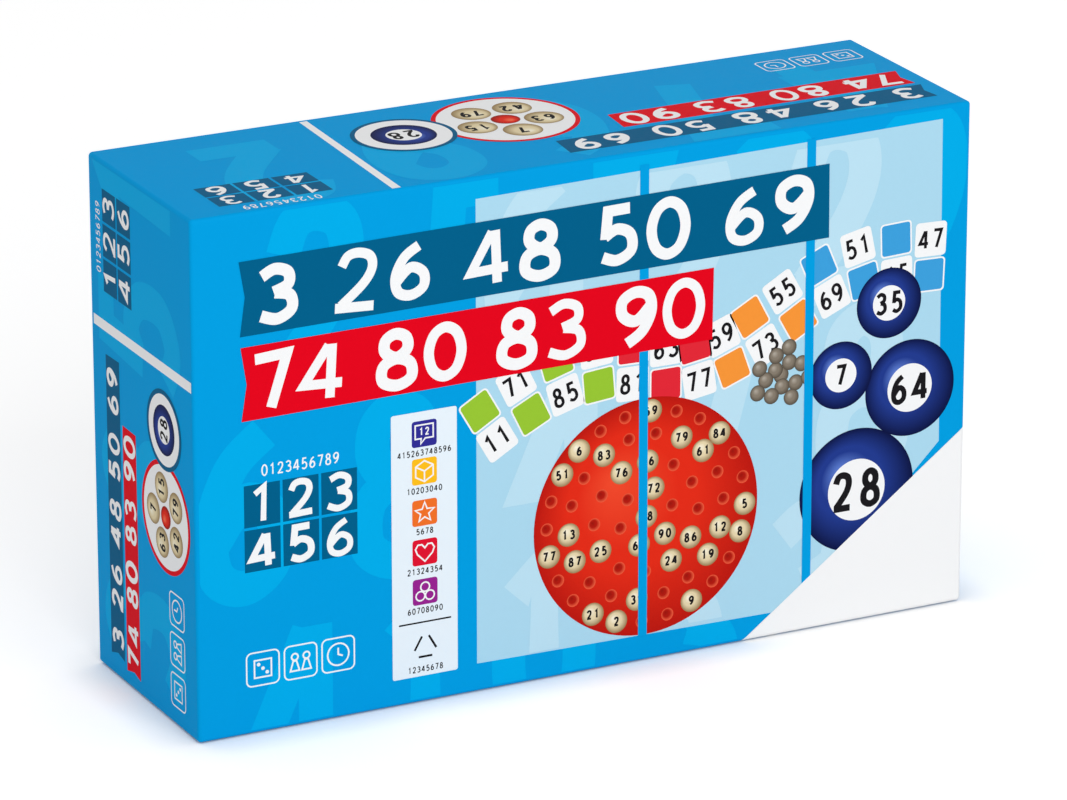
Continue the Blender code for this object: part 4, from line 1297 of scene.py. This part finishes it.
back = Patch((0, base_high.y - PRINT_DEPTH, 0), (-1, 0, 0), (0, 0, 1))
pale_figures("back_pale_figures", back, (
    (150, "72945", (-120, -62, -4, 54, 112)),
    (76, "30681", (-106, -48, 10, 68, 122)),
    (4, "58427", (-120, -62, -4, 54, 112))), (-146, 4, 146, 184), body="base")
press = Press(back, hand=17)
press.shape("pale_blue", 2, rounded(186, 96, 2, -40, 64))
for number, (x, y, tilt) in enumerate(BACK_CARDS):
    press.shape("white", 3, spin(rounded(84, 34, 1.6), x, y, tilt))
    bingo_card(press, 4, number, x, y, 79, 29, tilt)
for *sizes, ink in BACK_BALLS:
    numbered_ball(press, ink, (3, 4, 5), *sizes, 64)
banner(press, "teal", [(-132.2, 150), (26, 151), (26, 171), (-132.3, 170), (-130.2, 160)],
       -53, 160.5, 13.6, 2.8, 14.0, 0.4)
banner(press, "scarlet", [(-132.1, 124), (-2, 125), (-1.6, 145), (-132.1, 144), (-130.0, 134)],
       -67, 134.6, 13.6, 2.8, 13.4, 0.4)
outlined_signs(press, 112, 22, 12.2, 14.2)
press.print("back_print", "base")


# Floor, light and camera
# A plain white table under soft light from all round, with one large soft lamp in front of the box.

TABLE_SIZE = 14
TABLE_DROP = 0.2 * MM
TABLE_GLOW = 0.30
# Reach of the painted contact shadow: how far from the box ambient occlusion dims the table's emission
PAINTED_SHADOW_REACH = 18 * MM
SKY_LIGHT = 0.62
SKY_SEEN = 1.0
LAMP_PLACE = Vector((-0.2, -1.9, 1.1))
LAMP_TARGET = Vector((0, 0, 0.1))
WHITE = (1, 1, 1, 1)
BLACK = (0, 0, 0, 1)


def grey(level):
    return (level, level, level, 1)


def seen_plainly(finish):
    """One for rays from the camera, and for rays that a gloss or a clear surface sends on. Else nought."""
    seen = finish.add("LightPath", {}, {}, "Is Camera Ray")
    for ray in ("Is Glossy Ray", "Is Transmission Ray"):
        other = finish.add("LightPath", {}, {}, ray)
        seen = finish.add("Math", {"operation": "MAXIMUM"}, {0: seen, 1: other})
    return seen


finish = Finish("white_table")
seen = seen_plainly(finish)
# Ambient occlusion, squared, dims the table's emission near the box: a painted contact shadow round its foot.
painted_shadow_ao = finish.add("AmbientOcclusion", {"samples": 8}, {"Distance": PAINTED_SHADOW_REACH}, "AO")
shadowed_glow = finish.tint(painted_shadow_ao * painted_shadow_ao, BLACK, grey(TABLE_GLOW))
matt = finish.tint(finish.noise(3, 2), grey(0.86), grey(0.88))
white_table = finish.wear(
    Base_Color=finish.tint(seen, matt, WHITE),
    Emission_Color=finish.tint(seen, BLACK, shadowed_glow),
    Emission_Strength=1.0,
    Roughness=0.9,
    Specular_IOR_Level=0.05,
)
table = bmesh.new()
table.faces.new([table.verts.new((x, y, -TABLE_DROP)) for x, y in oblong(TABLE_SIZE, TABLE_SIZE)])
mesh = bpy.data.meshes.new("table")
table.to_mesh(mesh)
table.free()
mesh.materials.append(white_table)
floor = bpy.data.objects.new("table", mesh)
bpy.context.scene.collection.objects.link(floor)

studio = Finish("studio", bpy.data.worlds, "Background")
light = studio.add("MapRange", {}, {"Value": seen_plainly(studio), "To Min": SKY_LIGHT, "To Max": SKY_SEEN})
bpy.context.scene.world = studio.wear(Color=WHITE, Strength=light)

softbox = bpy.data.lights.new("front_softbox", "AREA")
softbox.shape = "RECTANGLE"
softbox.size = 1.6
softbox.size_y = 1.2
softbox.energy = 20
lamp = bpy.data.objects.new("front_softbox", softbox)
lamp.location = LAMP_PLACE
lamp.rotation_euler = (LAMP_TARGET - LAMP_PLACE).to_track_quat("-Z", "Y").to_euler()
bpy.context.scene.collection.objects.link(lamp)

camera = bpy.data.objects.new("camera", bpy.data.cameras.new("camera"))
bpy.context.scene.collection.objects.link(camera)
camera.location = (-1.02192, -2.0258, 0.89518)
camera.rotation_euler = (math.radians(90 - 19.60), math.radians(0.02), math.radians(-26.76))
camera.data.lens = 231.4
camera.data.clip_start = 0.1
bpy.context.scene.camera = camera
bpy.context.scene.view_settings.view_transform = "Standard"
